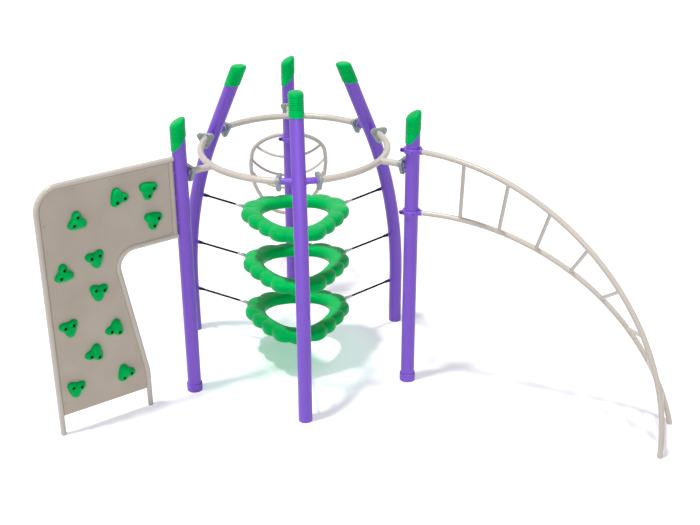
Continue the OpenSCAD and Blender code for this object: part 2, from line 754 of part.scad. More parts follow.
module loop_leg() {
    foot_s = loop_top_s + loop_len * sin(loop_slope);
    top_z = loop_top_z - loop_len * cos(loop_slope);
    color("Tan") at_climber() difference() {
        bar([foot_s, 0, 0], [foot_s, 0, top_z], loop_d, tube_wall);
        on_slope() loop_shape(loop_d + fit);
    }
}

// A clamp collar round a post, split at its ears, which point along the direction given,
// with a set screw beside them
screw_d = 10;
screw_turn = 88;
ear_t = 9;
ear_gap = 5;
ear_reach = 30;
ear_d = 34;
collar_r = post_r + collar_wall;

module collar(ears) {
    bore = post_r + fit / 2;
    chamfer = 4;
    difference() {
        union() {
            translate([0, 0, -collar_h / 2]) rotate_extrude() polygon([[bore, 0], [collar_r - chamfer, 0],
                [collar_r, chamfer], [collar_r, collar_h - chamfer], [collar_r - chamfer, collar_h],
                    [bore, collar_h]]);
            rotate([0, 0, ears]) {
                translate([bore + 2, -ear_t - ear_gap / 2, -ear_d / 2])
                    cube([collar_wall - 2 + ear_reach / 2, 2 * ear_t + ear_gap, ear_d]);
                translate([collar_r + ear_reach / 2, 0, 0]) rotate([90, 0, 0])
                    cylinder(d = ear_d, h = 2 * ear_t + ear_gap, center = true);
            }
        }
        rotate([0, 0, ears]) {
            translate([0, -ear_gap / 2, -collar_h]) cube([2 * collar_r, ear_gap, 2 * collar_h]);
            translate([collar_r + ear_reach / 2, 0, 0]) rotate([90, 0, 0])
                cylinder(d = bolt_d + 2 * fit, h = 2 * collar_r, center = true);
        }
        rotate([0, 0, ears + screw_turn]) bar([post_r - over, 0, 0], [collar_r + over, 0, 0], screw_d
            + 2 * fit);
    }
}

socket_d = rail_d + 2 * socket_wall;
// Depth that sockets and spacers are set into a collar
collar_root = 6;
// A collar with a socket for a ladder rail that leaves it along X
module socket_collar(ears) {
    difference() {
        union() {
            collar(ears);
            bar([collar_r - collar_root, 0, 0], [rail_start + socket_l, 0, 0], socket_d);
        }
        cylinder(r = post_r + fit / 2, h = 2 * socket_d, center = true);
        bar([rail_start - fit, 0, 0], [rail_start + post_d, 0, 0], rail_d + 2 * fit);
    }
}

saddle_d = loop_d + 8;
ladder_ears = 208;
climber_ears = 100;

module clamp_collars() {
    color("MediumPurple") {
        at_ladder() for (shape = [rail_shape_up, rail_shape_low])
            translate([0, 0, shape[0]]) rotate([0, 0, shape[2]]) socket_collar(ladder_ears);
        at_climber() difference() {
            union() {
                translate([0, 0, loop_top_z]) collar(climber_ears);
                bar([collar_r - collar_root, 0, loop_top_z], [loop_top_s - collar_root, 0, loop_top_z],
                    saddle_d);
            }
            on_slope() loop_shape(loop_d + fit);
        }
    }
}

// A collar's bolt, and its set screw, which stops a little below the collar's face
module collar_bolt(ears) {
    grip = 2 * ear_t + ear_gap;
    sunk = 3;
    rotate([0, 0, ears]) translate([collar_r + ear_reach / 2, grip / 2, 0]) rotate([90, 0, 0])
        bolt(bolt_d, grip, bolt_d * 0.55, bolt_d * 0.7);
    rotate([0, 0, ears + screw_turn]) bar([post_r + fit, 0, 0], [collar_r - sunk, 0, 0], screw_d);
}

module collar_bolts() {
    color("Silver") {
        at_ladder() for (shape = [rail_shape_up, rail_shape_low])
            translate([0, 0, shape[0]]) rotate([0, 0, shape[2]]) collar_bolt(ladder_ears);
        at_climber() translate([0, 0, loop_top_z]) collar_bolt(climber_ears);
    }
}

// A hanging ring's outlines, by direction: three corners point to the bent posts
function disc_outer(a) = disc_out_r + disc_out_lobe * cos(3 * (a - BENT_RIGHT))
    + scallop * (abs(cos(scallops / 2 * (a - BENT_RIGHT))) - 0.6);
function disc_inner(a) = disc_in_r + disc_in_lobe * cos(3 * (a - BENT_RIGHT));

disc_steps = 135;
disc_sides = 10;
// The ring's section is a rounded box: its rounding grows with this power
disc_power = 0.6;
function soft(v) = sign(v) * pow(abs(v), disc_power);

module disc_body() {
    n = disc_steps;
    m = disc_sides;
    points = [for (i = [0:n - 1]) let (a = 360 * i / n, mid = (disc_outer(a) + disc_inner(a)) / 2,
        half = (disc_outer(a) - disc_inner(a)) / 2) for (k = [0:m - 1]) let (b = 360 * (k + 0.5) / m,
        r = mid + half * soft(cos(b))) [r * cos(a), r * sin(a), disc_t / 2 * soft(sin(b))]];
    faces = [for (i = [0:n - 1], k = [0:m - 1]) let (j = (i + 1) % n, l = (k + 1) % m) each
        [[i * m + k, i * m + l, j * m + l], [i * m + k, j * m + l, j * m + k]]];
    polyhedron(points, faces);
}

eye_t = 8;
eye_r = 19;
// Slack of the shackle's pin in an eye plate, which takes up the rope's swing
eye_slack = 4;
// Depth that an eye plate is set into the ring
eye_root = 60;
disc_corner_r = disc_out_r + disc_out_lobe - 0.6 * scallop;

module eye_plate_solid(extra) {
    from = disc_corner_r - eye_root - extra;
    translate([from, -eye_t / 2 - extra, -eye_r - extra])
        cube([disc_eye_r - from, eye_t + 2 * extra, 2 * eye_r + 2 * extra]);
    translate([disc_eye_r, 0, 0]) rotate([90, 0, 0]) cylinder(r = eye_r + extra, h = eye_t + 2 * extra,
        center = true);
}

module hanging_ring(level) {
    color("MediumSeaGreen") translate([0, 0, height_of(level)]) difference() {
        disc_body();
        for (a = BENT) rotate([0, 0, a]) eye_plate_solid(fit / 2);
    }
}

module eye_plates(level) {
    color("Silver") translate([0, 0, height_of(level)]) for (a = BENT) rotate([0, 0, a]) difference() {
        eye_plate_solid(0);
        translate([disc_eye_r, 0, 0]) rotate([90, 0, 0]) cylinder(d = pin_d + 2 * eye_slack,
            h = 2 * eye_t, center = true);
    }
}

// The rope's own frame: its post pin at the origin and its ring pin along +X
function rope_span(level) = norm([pin_r(level) - disc_eye_r, rope_rise]);
function rope_tilt(level) = atan(rope_rise / (pin_r(level) - disc_eye_r));

module on_rope(azimuth, level) {
    rotate([0, 0, azimuth]) translate([pin_r(level), 0, pin_z(level)]) rotate([0, 180 - rope_tilt(level),
        0]) children();
}

fork_t = 6;
fork_gap = 0.25;
fork_nose = 13;
fork_neck = 25;
fork_bridge = 8;
ferrule_d = 26;
ferrule_l = 38;

// A fork with its pin at the origin, gripping a plate of thickness t, its shank along +X
module fork(t) {
    inside = t + 2 * fork_gap;
    width = inside + 2 * fork_t;
    for (side = [-1, 1]) translate([0, side * (inside + fork_t) / 2, 0]) {
        rotate([90, 0, 0]) cylinder(r = fork_nose, h = fork_t, center = true);
        translate([0, -fork_t / 2, -fork_nose]) cube([fork_neck + fork_bridge, fork_t, 2 * fork_nose]);
    }
    translate([fork_neck, -width / 2, -fork_nose]) cube([fork_bridge, width, 2 * fork_nose]);
    rotate([90, 0, 0]) cylinder(d = pin_d, h = width + pin_d / 2, center = true);
}

ferrule_end = fork_neck + fork_bridge + ferrule_l;
rope_seat = 20;

module rope(azimuth, level) {
    boot = ferrule_l / 2;
    color("DimGray") on_rope(azimuth, level) {
        fork(lug_t);
        bar([fork_neck, 0, 0], [fork_neck + fork_bridge + boot, 0, 0], ferrule_d);
        bar([fork_neck, 0, 0], [rope_span(level) - ferrule_end + rope_seat, 0, 0], rope_d);
    }
}

module shackle(azimuth, level) {
    color("Silver") on_rope(azimuth, level) translate([rope_span(level), 0, 0]) rotate([0, 0, 180]) {
        fork(eye_t);
        difference() {
            bar([fork_neck, 0, 0], [ferrule_end, 0, 0], ferrule_d);
            bar([ferrule_end - rope_seat - fit, 0, 0], [ferrule_end + over, 0, 0], rope_d + fit);
        }
    }
}

bent_post(BENT_FRONT);  // bent_post_front
bent_post(BENT_RIGHT);  // bent_post_right
bent_post(BENT_LEFT);  // bent_post_left
straight_post(STRAIGHT_LEFT);  // straight_post_left
straight_post(STRAIGHT_RIGHT);  // straight_post_right
straight_post(STRAIGHT_BACK);  // straight_post_back
foot_sleeves();
bent_cap(BENT_FRONT);  // cap_bent_front
bent_cap(BENT_RIGHT);  // cap_bent_right
bent_cap(BENT_LEFT);  // cap_bent_left
straight_cap(STRAIGHT_LEFT);  // cap_straight_left
straight_cap(STRAIGHT_RIGHT);  // cap_straight_right
straight_cap(STRAIGHT_BACK);  // cap_straight_back
ring_arc(STRAIGHT_LEFT);  // ring_arc_left
ring_arc(STRAIGHT_RIGHT);  // ring_arc_right
ring_arc(STRAIGHT_BACK);  // ring_arc_back
arc_flanges();
post_flanges();
flange_bolts();
wall_tube_outer();
wall_tube_inner();
wall_upright();
wall_standoffs();
wall_sheet();
sheet_tabs();
sheet_bolts();
climbing_holds();
hold_bolts();
ladder_rail_upper();
ladder_rail_lower();
ladder_rungs();
loop_rail();
loop_rungs_bowed();
loop_leg();
clamp_collars();
collar_bolts();
hanging_ring(0);  // hanging_ring_top
hanging_ring(1);  // hanging_ring_middle
hanging_ring(2);  // hanging_ring_low
eye_plates(0);  // eye_plates_top
eye_plates(1);  // eye_plates_middle
eye_plates(2);  // eye_plates_low
rope(BENT_FRONT, 0);  // rope_top_front
rope(BENT_RIGHT, 0);  // rope_top_right
rope(BENT_LEFT, 0);  // rope_top_left
rope(BENT_FRONT, 1);  // rope_middle_front
rope(BENT_RIGHT, 1);  // rope_middle_right
rope(BENT_LEFT, 1);  // rope_middle_left
rope(BENT_FRONT, 2);  // rope_low_front
rope(BENT_RIGHT, 2);  // rope_low_right
rope(BENT_LEFT, 2);  // rope_low_left
shackle(BENT_FRONT, 0);  // shackle_top_front
shackle(BENT_RIGHT, 0);  // shackle_top_right
shackle(BENT_LEFT, 0);  // shackle_top_left
shackle(BENT_FRONT, 1);  // shackle_middle_front
shackle(BENT_RIGHT, 1);  // shackle_middle_right
shackle(BENT_LEFT, 1);  // shackle_middle_left
shackle(BENT_FRONT, 2);  // shackle_low_front
shackle(BENT_RIGHT, 2);  // shackle_low_right
shackle(BENT_LEFT, 2);  // shackle_low_left
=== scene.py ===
"""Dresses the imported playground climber: meshes, finishes, camera, lamps and floor.

Sizes are in metres and angles in degrees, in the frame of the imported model: Z up, the
origin on the ground in the middle of the circle of posts, and the front bent post at -Y.
"""

import logging
import math
from dataclasses import dataclass
from enum import Enum
from typing import Any, Iterable, Sequence

import bmesh
import bpy
from mathutils import Euler, Matrix, Vector

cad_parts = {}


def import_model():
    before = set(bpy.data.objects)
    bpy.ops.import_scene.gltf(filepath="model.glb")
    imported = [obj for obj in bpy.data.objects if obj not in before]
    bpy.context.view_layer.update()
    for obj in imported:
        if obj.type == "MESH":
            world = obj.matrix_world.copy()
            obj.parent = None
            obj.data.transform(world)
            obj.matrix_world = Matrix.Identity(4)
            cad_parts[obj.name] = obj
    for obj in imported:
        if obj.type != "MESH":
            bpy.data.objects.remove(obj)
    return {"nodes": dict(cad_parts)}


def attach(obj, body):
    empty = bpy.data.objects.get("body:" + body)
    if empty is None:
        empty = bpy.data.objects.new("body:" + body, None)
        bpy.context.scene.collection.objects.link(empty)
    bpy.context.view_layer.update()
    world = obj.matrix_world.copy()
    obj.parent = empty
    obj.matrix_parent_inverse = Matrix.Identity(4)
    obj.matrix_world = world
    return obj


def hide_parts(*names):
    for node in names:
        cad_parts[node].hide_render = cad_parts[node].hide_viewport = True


LOG = logging.getLogger("climber")
Point = tuple[float, float, float]
Flat = tuple[float, float]
Mesh = bpy.types.Mesh
Socket = bpy.types.NodeSocket
Tree = bpy.types.NodeTree
FRAME_BODY = "frame"
WHITE = "#FFFFFF"

# Points round each kind of round form.
POST_SIDES = 72
STUB_SIDES = 36
TUBE_SIDES = 40
ROD_SIDES = 28
BEAD_SIDES = 10


# Small helpers

def cos(degrees: float) -> float:
    """Returns the cosine of an angle in degrees."""
    return math.cos(math.radians(degrees))


def sin(degrees: float) -> float:
    """Returns the sine of an angle in degrees."""
    return math.sin(math.radians(degrees))


def tan(degrees: float) -> float:
    """Returns the tangent of an angle in degrees."""
    return math.tan(math.radians(degrees))


def evenly(first: float, last: float, count: int) -> list[float]:
    """Returns evenly spaced values from the first to the last."""
    return [first + (last - first) * k / (count - 1) for k in range(count)]


def linear(hex_code: str) -> tuple[float, ...]:
    """Turns an sRGB colour into a linear one.

    Args:
        hex_code: six hex digits with a leading #.

    Returns:
        Red, green, blue and alpha from 0 to 1.
    """
    values = [int(hex_code[i:i + 2], 16) / 255 for i in (1, 3, 5)]
    return *(v / 12.92 if v <= 0.04045 else ((v + 0.055) / 1.055) ** 2.4 for v in values), 1.0


def add_node(tree: Tree, kind: str, inputs: dict[Any, Any] | None = None, **settings: Any) -> bpy.types.Node:
    """Adds a node, sets its properties, and fills or links its inputs.

    Args:
        tree: the node tree to add to.
        kind: the node's type name.
        inputs: value or output socket for each input, by the input's name or number.
        settings: properties of the node itself.

    Returns:
        The new node.
    """
    node = tree.nodes.new(kind)
    for key, value in settings.items():
        setattr(node, key, value)
    for key, value in (inputs or {}).items():
        if isinstance(value, Socket):
            tree.links.new(value, node.inputs[key])
        else:
            node.inputs[key].default_value = value
    return node


def empty_tree(owner: bpy.types.Material | bpy.types.World) -> Tree:
    """Empties the node tree of a material or a world.

    Args:
        owner: the material or the world.

    Returns:
        Its tree, with nothing in it.
    """
    owner.use_nodes = True
    owner.node_tree.nodes.clear()
    return owner.node_tree


def put(name: str, data: bpy.types.ID) -> bpy.types.Object:
    """Puts data into the scene.

    Args:
        name: the new object's name.
        data: its mesh, lamp or camera.

    Returns:
        The new object.
    """
    made = bpy.data.objects.new(name, data)
    bpy.context.scene.collection.objects.link(made)
    return made


def scrap(*things: bpy.types.Object) -> None:
    """Removes objects and their meshes.

    Args:
        things: the objects.
    """
    for thing in things:
        mesh = thing.data
        bpy.data.objects.remove(thing)
        bpy.data.meshes.remove(mesh)


def raw_mesh(name: str, points: Iterable[Sequence[float]], edges: Sequence = (),
             faces: Sequence = ()) -> Mesh:
    """Makes a mesh from lists.

    Args:
        name: the mesh's name.
        points: places of its points.
        edges: numbers of each edge's two points.
        faces: numbers of each face's points.

    Returns:
        The new mesh.
    """
    mesh = bpy.data.meshes.new(name)
    mesh.from_pydata([tuple(p) for p in points], edges, faces)
    return mesh


def shaped(holder: bpy.types.Object) -> Mesh:
    """Runs an object's modifiers and removes them.

    Args:
        holder: the object.

    Returns:
        The plain mesh that the modifiers make.
    """
    bpy.context.view_layer.update()
    seen = holder.evaluated_get(bpy.context.evaluated_depsgraph_get())
    made = bpy.data.meshes.new_from_object(seen)
    holder.modifiers.clear()
    return made


# Places

class Named(Enum):
    """A choice whose name is part of the names of its pieces."""

    @property
    def word(self) -> str:
        """The name in lower case."""
        return self.name.lower()


class Bent(Named):
    """The bent posts, by the direction in which each stands."""

    FRONT = -90
    RIGHT = 30
    LEFT = 150


class Straight(Named):
    """The straight posts, by the direction in which each stands."""

    LEFT = 210
    RIGHT = -30
    BACK = 90


class Level(Named):
    """The hanging rings, by the height of each one's middle."""

    TOP = 1.490
    MIDDLE = 0.965
    LOW = 0.440


def move(x: float = 0.0, y: float = 0.0, z: float = 0.0) -> Matrix:
    """Returns the matrix of a shift."""
    return Matrix.Translation((x, y, z))


def turn(degrees: float, axis: str = "Z") -> Matrix:
    """Returns the matrix of a turn about one of the axes through the origin."""
    return Matrix.Rotation(math.radians(degrees), 4, axis)


def aim(start: Vector, end: Vector, up: Vector) -> Matrix:
    """Finds the place of a form whose X axis runs from start to end.

    Args:
        start: where the form's origin goes.
        end: a point that its X axis points to.
        up: the direction that its Z axis leans to.

    Returns:
        The place.
    """
    x = (end - start).normalized()
    y = up.cross(x).normalized()
    place = Matrix((x, y, x.cross(y))).transposed().to_4x4()
    place.translation = start
    return place


@dataclass(frozen=True)
class Layout:
    """The driving sizes that the sub-assemblies share."""

    post_r: float = 0.0635
    bent_foot_r: float = 1.204
    straight_foot_r: float = 1.172
    bend_start: float = 0.550
    bend_r: float = 4.060
    bend_angle: float = 24.0
    lean_len: float = 0.754
    straight_h: float = 2.67538
    ring_z: float = 2.192
    tube_r: float = 0.03015
    # length of a bent post's stub along the ring, and the radius of the straight posts' joints
    stub: float = 0.175
    branch_r: float = 1.0785
    # each tube stops short of its joint's middle by this angle on the ring or this length on a branch
    joint_turn: float = 0.07
    joint_gap: float = 0.001
    # a rope's pin at its post: height over the ring's middle, and distance from the post's skin
    pin_rise: float = 0.042
    pin_out: float = 0.030

    @property
    def bend_end(self) -> float:
        """Height at which the bent posts run straight again."""
        return self.bend_start + self.bend_r * sin(self.bend_angle)

    @property
    def ring_r(self) -> float:
        """Radius of the top ring."""
        return self.axis(self.ring_z)

    @property
    def stub_angle(self) -> float:
        """Angle from a bent post to its flange joints."""
        return math.degrees(self.stub / self.ring_r)

    def lean(self, z: float) -> float:
        """Returns a bent post's lean at height z."""
        rise = min(max(z - self.bend_start, 0.0), self.bend_end - self.bend_start)
        return math.degrees(math.asin(rise / self.bend_r))

    def axis(self, z: float) -> float:
        """Returns the distance of a bent post's axis from the centre at height z."""
        straight = max(0.0, z - self.bend_end) * tan(self.bend_angle)
        return self.bent_foot_r - self.bend_r * (1 - cos(self.lean(z))) - straight

    def pin(self, level: Level) -> Flat:
        """Returns the radius and the height of a rope's pin at its post."""
        z = level.value + self.pin_rise
        return self.axis(z) - self.post_r / cos(self.lean(z)) - self.pin_out, z

    def flange_places(self) -> list[Matrix]:
        """Finds the place of each flange joint.

        Returns:
            The places, whose Z points from the post to the ring.
        """
        flat = turn(90, "X")
        on_ring = [turn(post.value + side * self.stub_angle) @ move(self.ring_r, 0, self.ring_z)
                   @ turn(180 if side > 0 else 0) @ flat for post in Bent for side in (-1, 1)]
        return on_ring + [turn(post.value) @ move(self.branch_r, 0, self.ring_z) @ turn(-90) @ flat
                          for post in Straight]


# Finishes

def dye(tree: Tree, amount: Socket, bounds: Flat, colours: tuple[Any, Any], most: float = 1.0) -> Socket:
    """Mixes two colours by a value between two bounds.

    Args:
        tree: the material's nodes.
        amount: the value that chooses the colour.
        bounds: the values that give the first colour and the second.
        colours: the two colours, each as sRGB hex or as an output socket.
        most: share of the second colour at the upper bound.

    Returns:
        The mixed colour.
    """
    share = add_node(tree, "ShaderNodeMapRange", {
        "Value": amount, "From Min": bounds[0], "From Max": bounds[1], "To Max": most})
    first, second = (linear(c) if isinstance(c, str) else c for c in colours)
    return add_node(tree, "ShaderNodeMix", {0: share.outputs[0], 6: first, 7: second},
                    data_type="RGBA").outputs[2]


@dataclass(frozen=True)
class Finish:
    """A finish: the material's own colours and gloss, and how its surface was made."""

    name: str
    slot: str
    colour: str
    shade: str
    roughness: float
    metallic: float = 0.0
    # size and depth of the surface's grain, and size of the soft mottling
    grain: float = 0.004
    relief: float = 0.0002
    mottle: float = 0.5
    # how far the roughness wanders to each side
    spread: float = 0.06
    specular: float = 0.5
    sheen: str = WHITE

    def material(self) -> bpy.types.Material:
        """Finds the finish's material, or builds it on the first call.

        Returns:
            The material.
        """
        known = bpy.data.materials.get(self.name)
        if known:
            return known
        made = bpy.data.materials.new(self.name)
        tree = empty_tree(made)
        colour, wear, heights = self.paint(tree, add_node(tree, "ShaderNodeTexCoord").outputs["Object"])
        gloss = add_node(tree, "ShaderNodeMapRange", {
            "Value": wear, "From Min": 0.3, "From Max": 0.7,
            "To Min": self.roughness - self.spread, "To Max": self.roughness + self.spread})
        under: dict[str, Socket] = {}
        for height in heights:
            bump = add_node(tree, "ShaderNodeBump", {"Height": height, "Distance": self.relief, **under})
            under = {"Normal": bump.outputs["Normal"]}
        skin = add_node(tree, "ShaderNodeBsdfPrincipled", {
            "Base Color": colour, "Roughness": gloss.outputs[0], "Metallic": self.metallic,
            "Specular IOR Level": self.specular, "Specular Tint": linear(self.sheen), **under})
        add_node(tree, "ShaderNodeOutputMaterial", {"Surface": skin.outputs["BSDF"]})
        return made

    def paint(self, tree: Tree, where: Socket) -> tuple[Socket, Socket, list[Socket]]:
        """Gives the surface soft mottling and a fine grain.

        Args:
            tree: the material's nodes.
            where: the coordinates to read.

        Returns:
            The colour, the value that spreads the roughness, and the heights of the surface.
        """
        broad = add_node(tree, "ShaderNodeTexNoise", {
            "Vector": where, "Scale": 1 / self.mottle}).outputs["Fac"]
        fine = add_node(tree, "ShaderNodeTexNoise", {
            "Vector": where, "Scale": 1 / self.grain, "Detail": 3.0})
        return dye(tree, broad, (0.35, 0.7), (self.colour, self.shade)), broad, [fine.outputs["Fac"]]


@dataclass(frozen=True)
class PowderCoat(Finish):
    """Polyester powder baked on steel: satin, with the shallow orange peel of melted powder."""


@dataclass(frozen=True)
class MouldedRubber(Finish):
    """Soft rubber from a plain mould: dull black, with a faint grain."""


@dataclass(frozen=True)
class MouldedPlastic(Finish):
    """Polyethylene from a sand-blasted mould: even colour, a fine pebble, and crests lightened by a painted
    highlight.
    """

    # colour of the painted highlight on the crests
    scuff: str = "#04C868"
    sheen: str = "#1CF088"

    def paint(self, tree: Tree, where: Socket) -> tuple[Socket, Socket, list[Socket]]:
        """Gives the surface a pebbled grain, and a painted highlight that makes its crests a little lighter
        than the clefts.

        Args:
            tree: the material's nodes.
            where: the coordinates to read.

        Returns:
            The colour, the value that spreads the roughness, and the heights of the surface.
        """
        broad = add_node(tree, "ShaderNodeTexNoise", {
            "Vector": where, "Scale": 1 / self.mottle}).outputs["Fac"]
        pebble = add_node(tree, "ShaderNodeTexVoronoi", {"Vector": where, "Scale": 1 / self.grain},
                          feature="SMOOTH_F1").outputs["Distance"]
        base = dye(tree, broad, (0.35, 0.7), (self.colour, self.shade))
        # painted highlight: where the surface is convex, up to 35% of the lighter green is mixed in
        crest = add_node(tree, "ShaderNodeNewGeometry").outputs["Pointiness"]
        return dye(tree, crest, (0.515, 0.56), (base, self.scuff), most=0.35), broad, [pebble]


@dataclass(frozen=True)
class CastMetal(Finish):
    """Aluminium cast in sand and tumbled: grainy, with shallow pits and a dull grey skin."""

    pit: float = 0.011

    def paint(self, tree: Tree, where: Socket) -> tuple[Socket, Socket, list[Socket]]:
        """Gives the surface a sandy grain with sparse pits, darker than the skin round them.

        Args:
            tree: the material's nodes.
            where: the coordinates to read.

        Returns:
            The colour, the value that spreads the roughness, and the heights of the surface.
        """
        sand = add_node(tree, "ShaderNodeTexNoise", {
            "Vector": where, "Scale": 1 / self.grain, "Detail": 4.0}).outputs["Fac"]
        pits = add_node(tree, "ShaderNodeTexVoronoi", {"Vector": where, "Scale": 1 / self.pit})
        hollow = add_node(tree, "ShaderNodeMapRange", {
            "Value": pits.outputs["Distance"], "From Min": 0.1, "From Max": 0.3}).outputs[0]
        return dye(tree, hollow, (0, 1), (self.shade, self.colour)), sand, [sand, hollow]


@dataclass(frozen=True)
class ZincPlate(Finish):
    """Bright zinc on steel: a clean metal with a faint spangle and soft smears."""

    spangle: float = 0.006

    def paint(self, tree: Tree, where: Socket) -> tuple[Socket, Socket, list[Socket]]:
        """Gives the surface the flat crystals of the plating, each a little lighter or darker.

        Args:
            tree: the material's nodes.
            where: the coordinates to read.

        Returns:
            The colour, the value that spreads the roughness, and the heights of the surface.
        """
        crystals = add_node(tree, "ShaderNodeTexVoronoi", {"Vector": where, "Scale": 1 / self.spangle})
        tone = add_node(tree, "ShaderNodeSeparateColor", {"Color": crystals.outputs["Color"]})
        smear, fine = (add_node(tree, "ShaderNodeTexNoise", {
            "Vector": where, "Scale": 1 / size}).outputs["Fac"] for size in (self.mottle, self.grain))
        return dye(tree, tone.outputs["Red"], (0, 1), (self.colour, self.shade)), smear, [fine]


@dataclass(frozen=True)
class BraidedYarn(Finish):
    """Black polyester yarn over steel strands: matt, with light flecks where fibres stand up."""

    fleck: str = "#202020"

    def paint(self, tree: Tree, where: Socket) -> tuple[Socket, Socket, list[Socket]]:
        """Gives the surface fibres, as a fine noise that lifts single flecks out of the black.

        Args:
            tree: the material's nodes.
            where: the coordinates to read.

        Returns:
            The colour, the value that spreads the roughness, and the heights of the surface.
        """
        fibres = add_node(tree, "ShaderNodeTexNoise", {
            "Vector": where, "Scale": 1 / self.grain, "Detail": 5.0}).outputs["Fac"]
        broad = add_node(tree, "ShaderNodeTexNoise", {
            "Vector": where, "Scale": 1 / self.mottle}).outputs["Fac"]
        base = dye(tree, broad, (0.3, 0.7), (self.colour, self.shade))
        return dye(tree, fibres, (0.6, 0.75), (base, self.fleck)), fibres, [fibres]


# A violet powder coat: satin, and a little darker where the powder lies thick.
VIOLET = PowderCoat("violet_powder_coat", "purple_paint", "#8457D5", "#8055D0", 0.30,
                    mottle=0.45, spread=0.02, specular=0.38)
# A sand-coloured powder coat: the same satin skin on the lighter tubes.
SAND = PowderCoat("sand_powder_coat", "beige_paint", "#CFC6BC", "#CBC2B7", 0.30,
                  mottle=0.4, spread=0.02, specular=0.45)
# The short upright has the sheet's own duller tone.
SAND_UPRIGHT = PowderCoat("sand_upright_coat", "beige_paint", "#C6BAAD", "#BEB1A4", 0.5,
                          mottle=0.3, specular=0.25)
# The sheet has a coarser, duller coat, so that shoes grip on it.
SAND_SHEET = PowderCoat("sand_sheet_coat", "beige_sheet", "#C6BAAD", "#BEB1A4", 0.6,
                        grain=0.006, relief=0.0005, mottle=0.3, specular=0.2)
# The mould's pebble is 2 mm on the real surface and drawn at 5 mm, so that it shows.
GREEN = MouldedPlastic("green_moulded_plastic", "green_plastic", "#00BC5C", "#00B054", 0.32,
                       grain=0.005, relief=0.0003, mottle=0.25, specular=0.18)
# Sand-cast flanges, tumbled until the grain of the sand only just shows.
CASTING = CastMetal("tumbled_casting", "grey_casting", "#98A3A0", "#7E8886", 0.5,
                    metallic=0.55, grain=0.0025)
# Zinc that has gone a little dull outdoors.
ZINC = ZincPlate("zinc_plated_steel", "zinc_steel", "#B4B4AE", "#A2A29C", 0.34,
                 metallic=0.9, grain=0.003, relief=0.00005, mottle=0.05)
# The bolts in the holds' pockets are black oxide, which keeps a dark metal gleam; the black cup round each
# bolt's head lines its pocket as painted shade.
BLACK_OXIDE_AND_SHADE = ZincPlate("black_oxide_steel", "zinc_steel", "#4A4A4C", "#3E3E40", 0.4,
                        metallic=0.8, grain=0.003, relief=0.00005, mottle=0.05)
# The collars' bolts and set screws sit in shade, so they are drawn near black as painted shade.
SHADE_PAINTED_SCREW = ZincPlate("black_set_screws", "zinc_steel", "#121214", "#0C0C0E", 0.6,
                        metallic=0.1, grain=0.003, relief=0.00005, mottle=0.05)
# The tabs' screws are painted over with the sheet.
PAINTED_BOLT = PowderCoat("painted_screws", "zinc_steel", "#B9AEA2", "#AFA498", 0.5,
                          mottle=0.1, specular=0.3)
# Black yarn, quite matt: its fibres are drawn at 1.2 mm, thicker than real ones, so that they show.
YARN = BraidedYarn("black_rope_yarn", "black_rope", "#0D0D0D", "#131313", 0.85,
                   grain=0.0012, relief=0.0004, mottle=0.03, specular=0.05)
# A boot of plain rubber over each fork at a post: black, with hardly a highlight.
RUBBER = MouldedRubber("black_rubber_boot", "black_rope", "#0F0F10", "#151516", 0.62,
                       grain=0.002, relief=0.0001, mottle=0.04, specular=0.1)


# Mesh making

def inset(outline: Sequence[Flat], depth: float) -> list[Flat]:
    """Moves a closed outline inwards.

    Args:
        outline: points, anticlockwise.
        depth: how far each edge moves.

    Returns:
        The moved points.
    """
    # this keeps a very sharp corner from moving too far
    least = 0.3
    moved = []
    for i, (x, y) in enumerate(outline):
        before = Vector(outline[i]) - Vector(outline[i - 1])
        after = Vector(outline[(i + 1) % len(outline)]) - Vector(outline[i])
        a = Vector((-before.y, before.x)).normalized()
        b = Vector((-after.y, after.x)).normalized()
        both = (a + b) / max(least, 1 + a.dot(b))
        moved.append((x + both.x * depth, y + both.y * depth))
    return moved


def rounded(corners: Sequence[Flat], radius: float, steps: int) -> list[Flat]:
    """Rounds a convex outline.

    Args:
        corners: centres of the round corners, anticlockwise.
        radius: radius of each corner.
        steps: points in each corner's arc, less one.

    Returns:
        The outline's points, anticlockwise.
    """
    points = []
    for i, corner in enumerate(corners):
        before = Vector(corner) - Vector(corners[i - 1])
        after = Vector(corners[(i + 1) % len(corners)]) - Vector(corner)
        start = math.atan2(-before.x, before.y)
        sweep = (math.atan2(-after.x, after.y) - start) % math.tau
        for angle in evenly(start, start + sweep, steps + 1):
            points.append((corner[0] + radius * math.cos(angle), corner[1] + radius * math.sin(angle)))
    return points


def oblong(low: Flat, high: Flat) -> list[Flat]:
    """Returns the corners of an oblong, anticlockwise."""
    return [low, (high[0], low[1]), high, (low[0], high[1])]


def arc(centre: Flat, radius: float, start: float, end: float, steps: int) -> list[Flat]:
    """Returns the points of an arc between two directions."""
    return [(centre[0] + radius * cos(a), centre[1] + radius * sin(a))
            for a in evenly(start, end, steps + 1)]


def tongue(radius: float, neck: float, root: float, steps: int) -> list[Flat]:
    """Draws a plate whose round nose has the origin as its centre.

    Args:
        radius: radius of the nose, and half the plate's width.
        neck: where each long side has a point between nose and root.
        root: distance from the origin to the straight end.
        steps: points in the nose, less one.

    Returns:
        The outline's points, anticlockwise.
    """
    return [*arc((0, 0), radius, 90, 270, steps), (neck, -radius), (root, -radius), (root, 0.0),
            (root, radius), (neck, radius)]


def eased(radius: float, low: float, high: float, ease: float, share: float) -> list[Flat]:
    """Draws the profile of a bar with eased ends.

    Args:
        radius: the bar's radius.
        low: height of its lower end.
        high: height of its upper end.
        ease: height of each eased edge.
        share: the end faces' radius, as a share of the bar's.

    Returns:
        Points of radius and height.
    """
    return [(radius * share, low), (radius, low + ease), (radius, high - ease), (radius * share, high)]


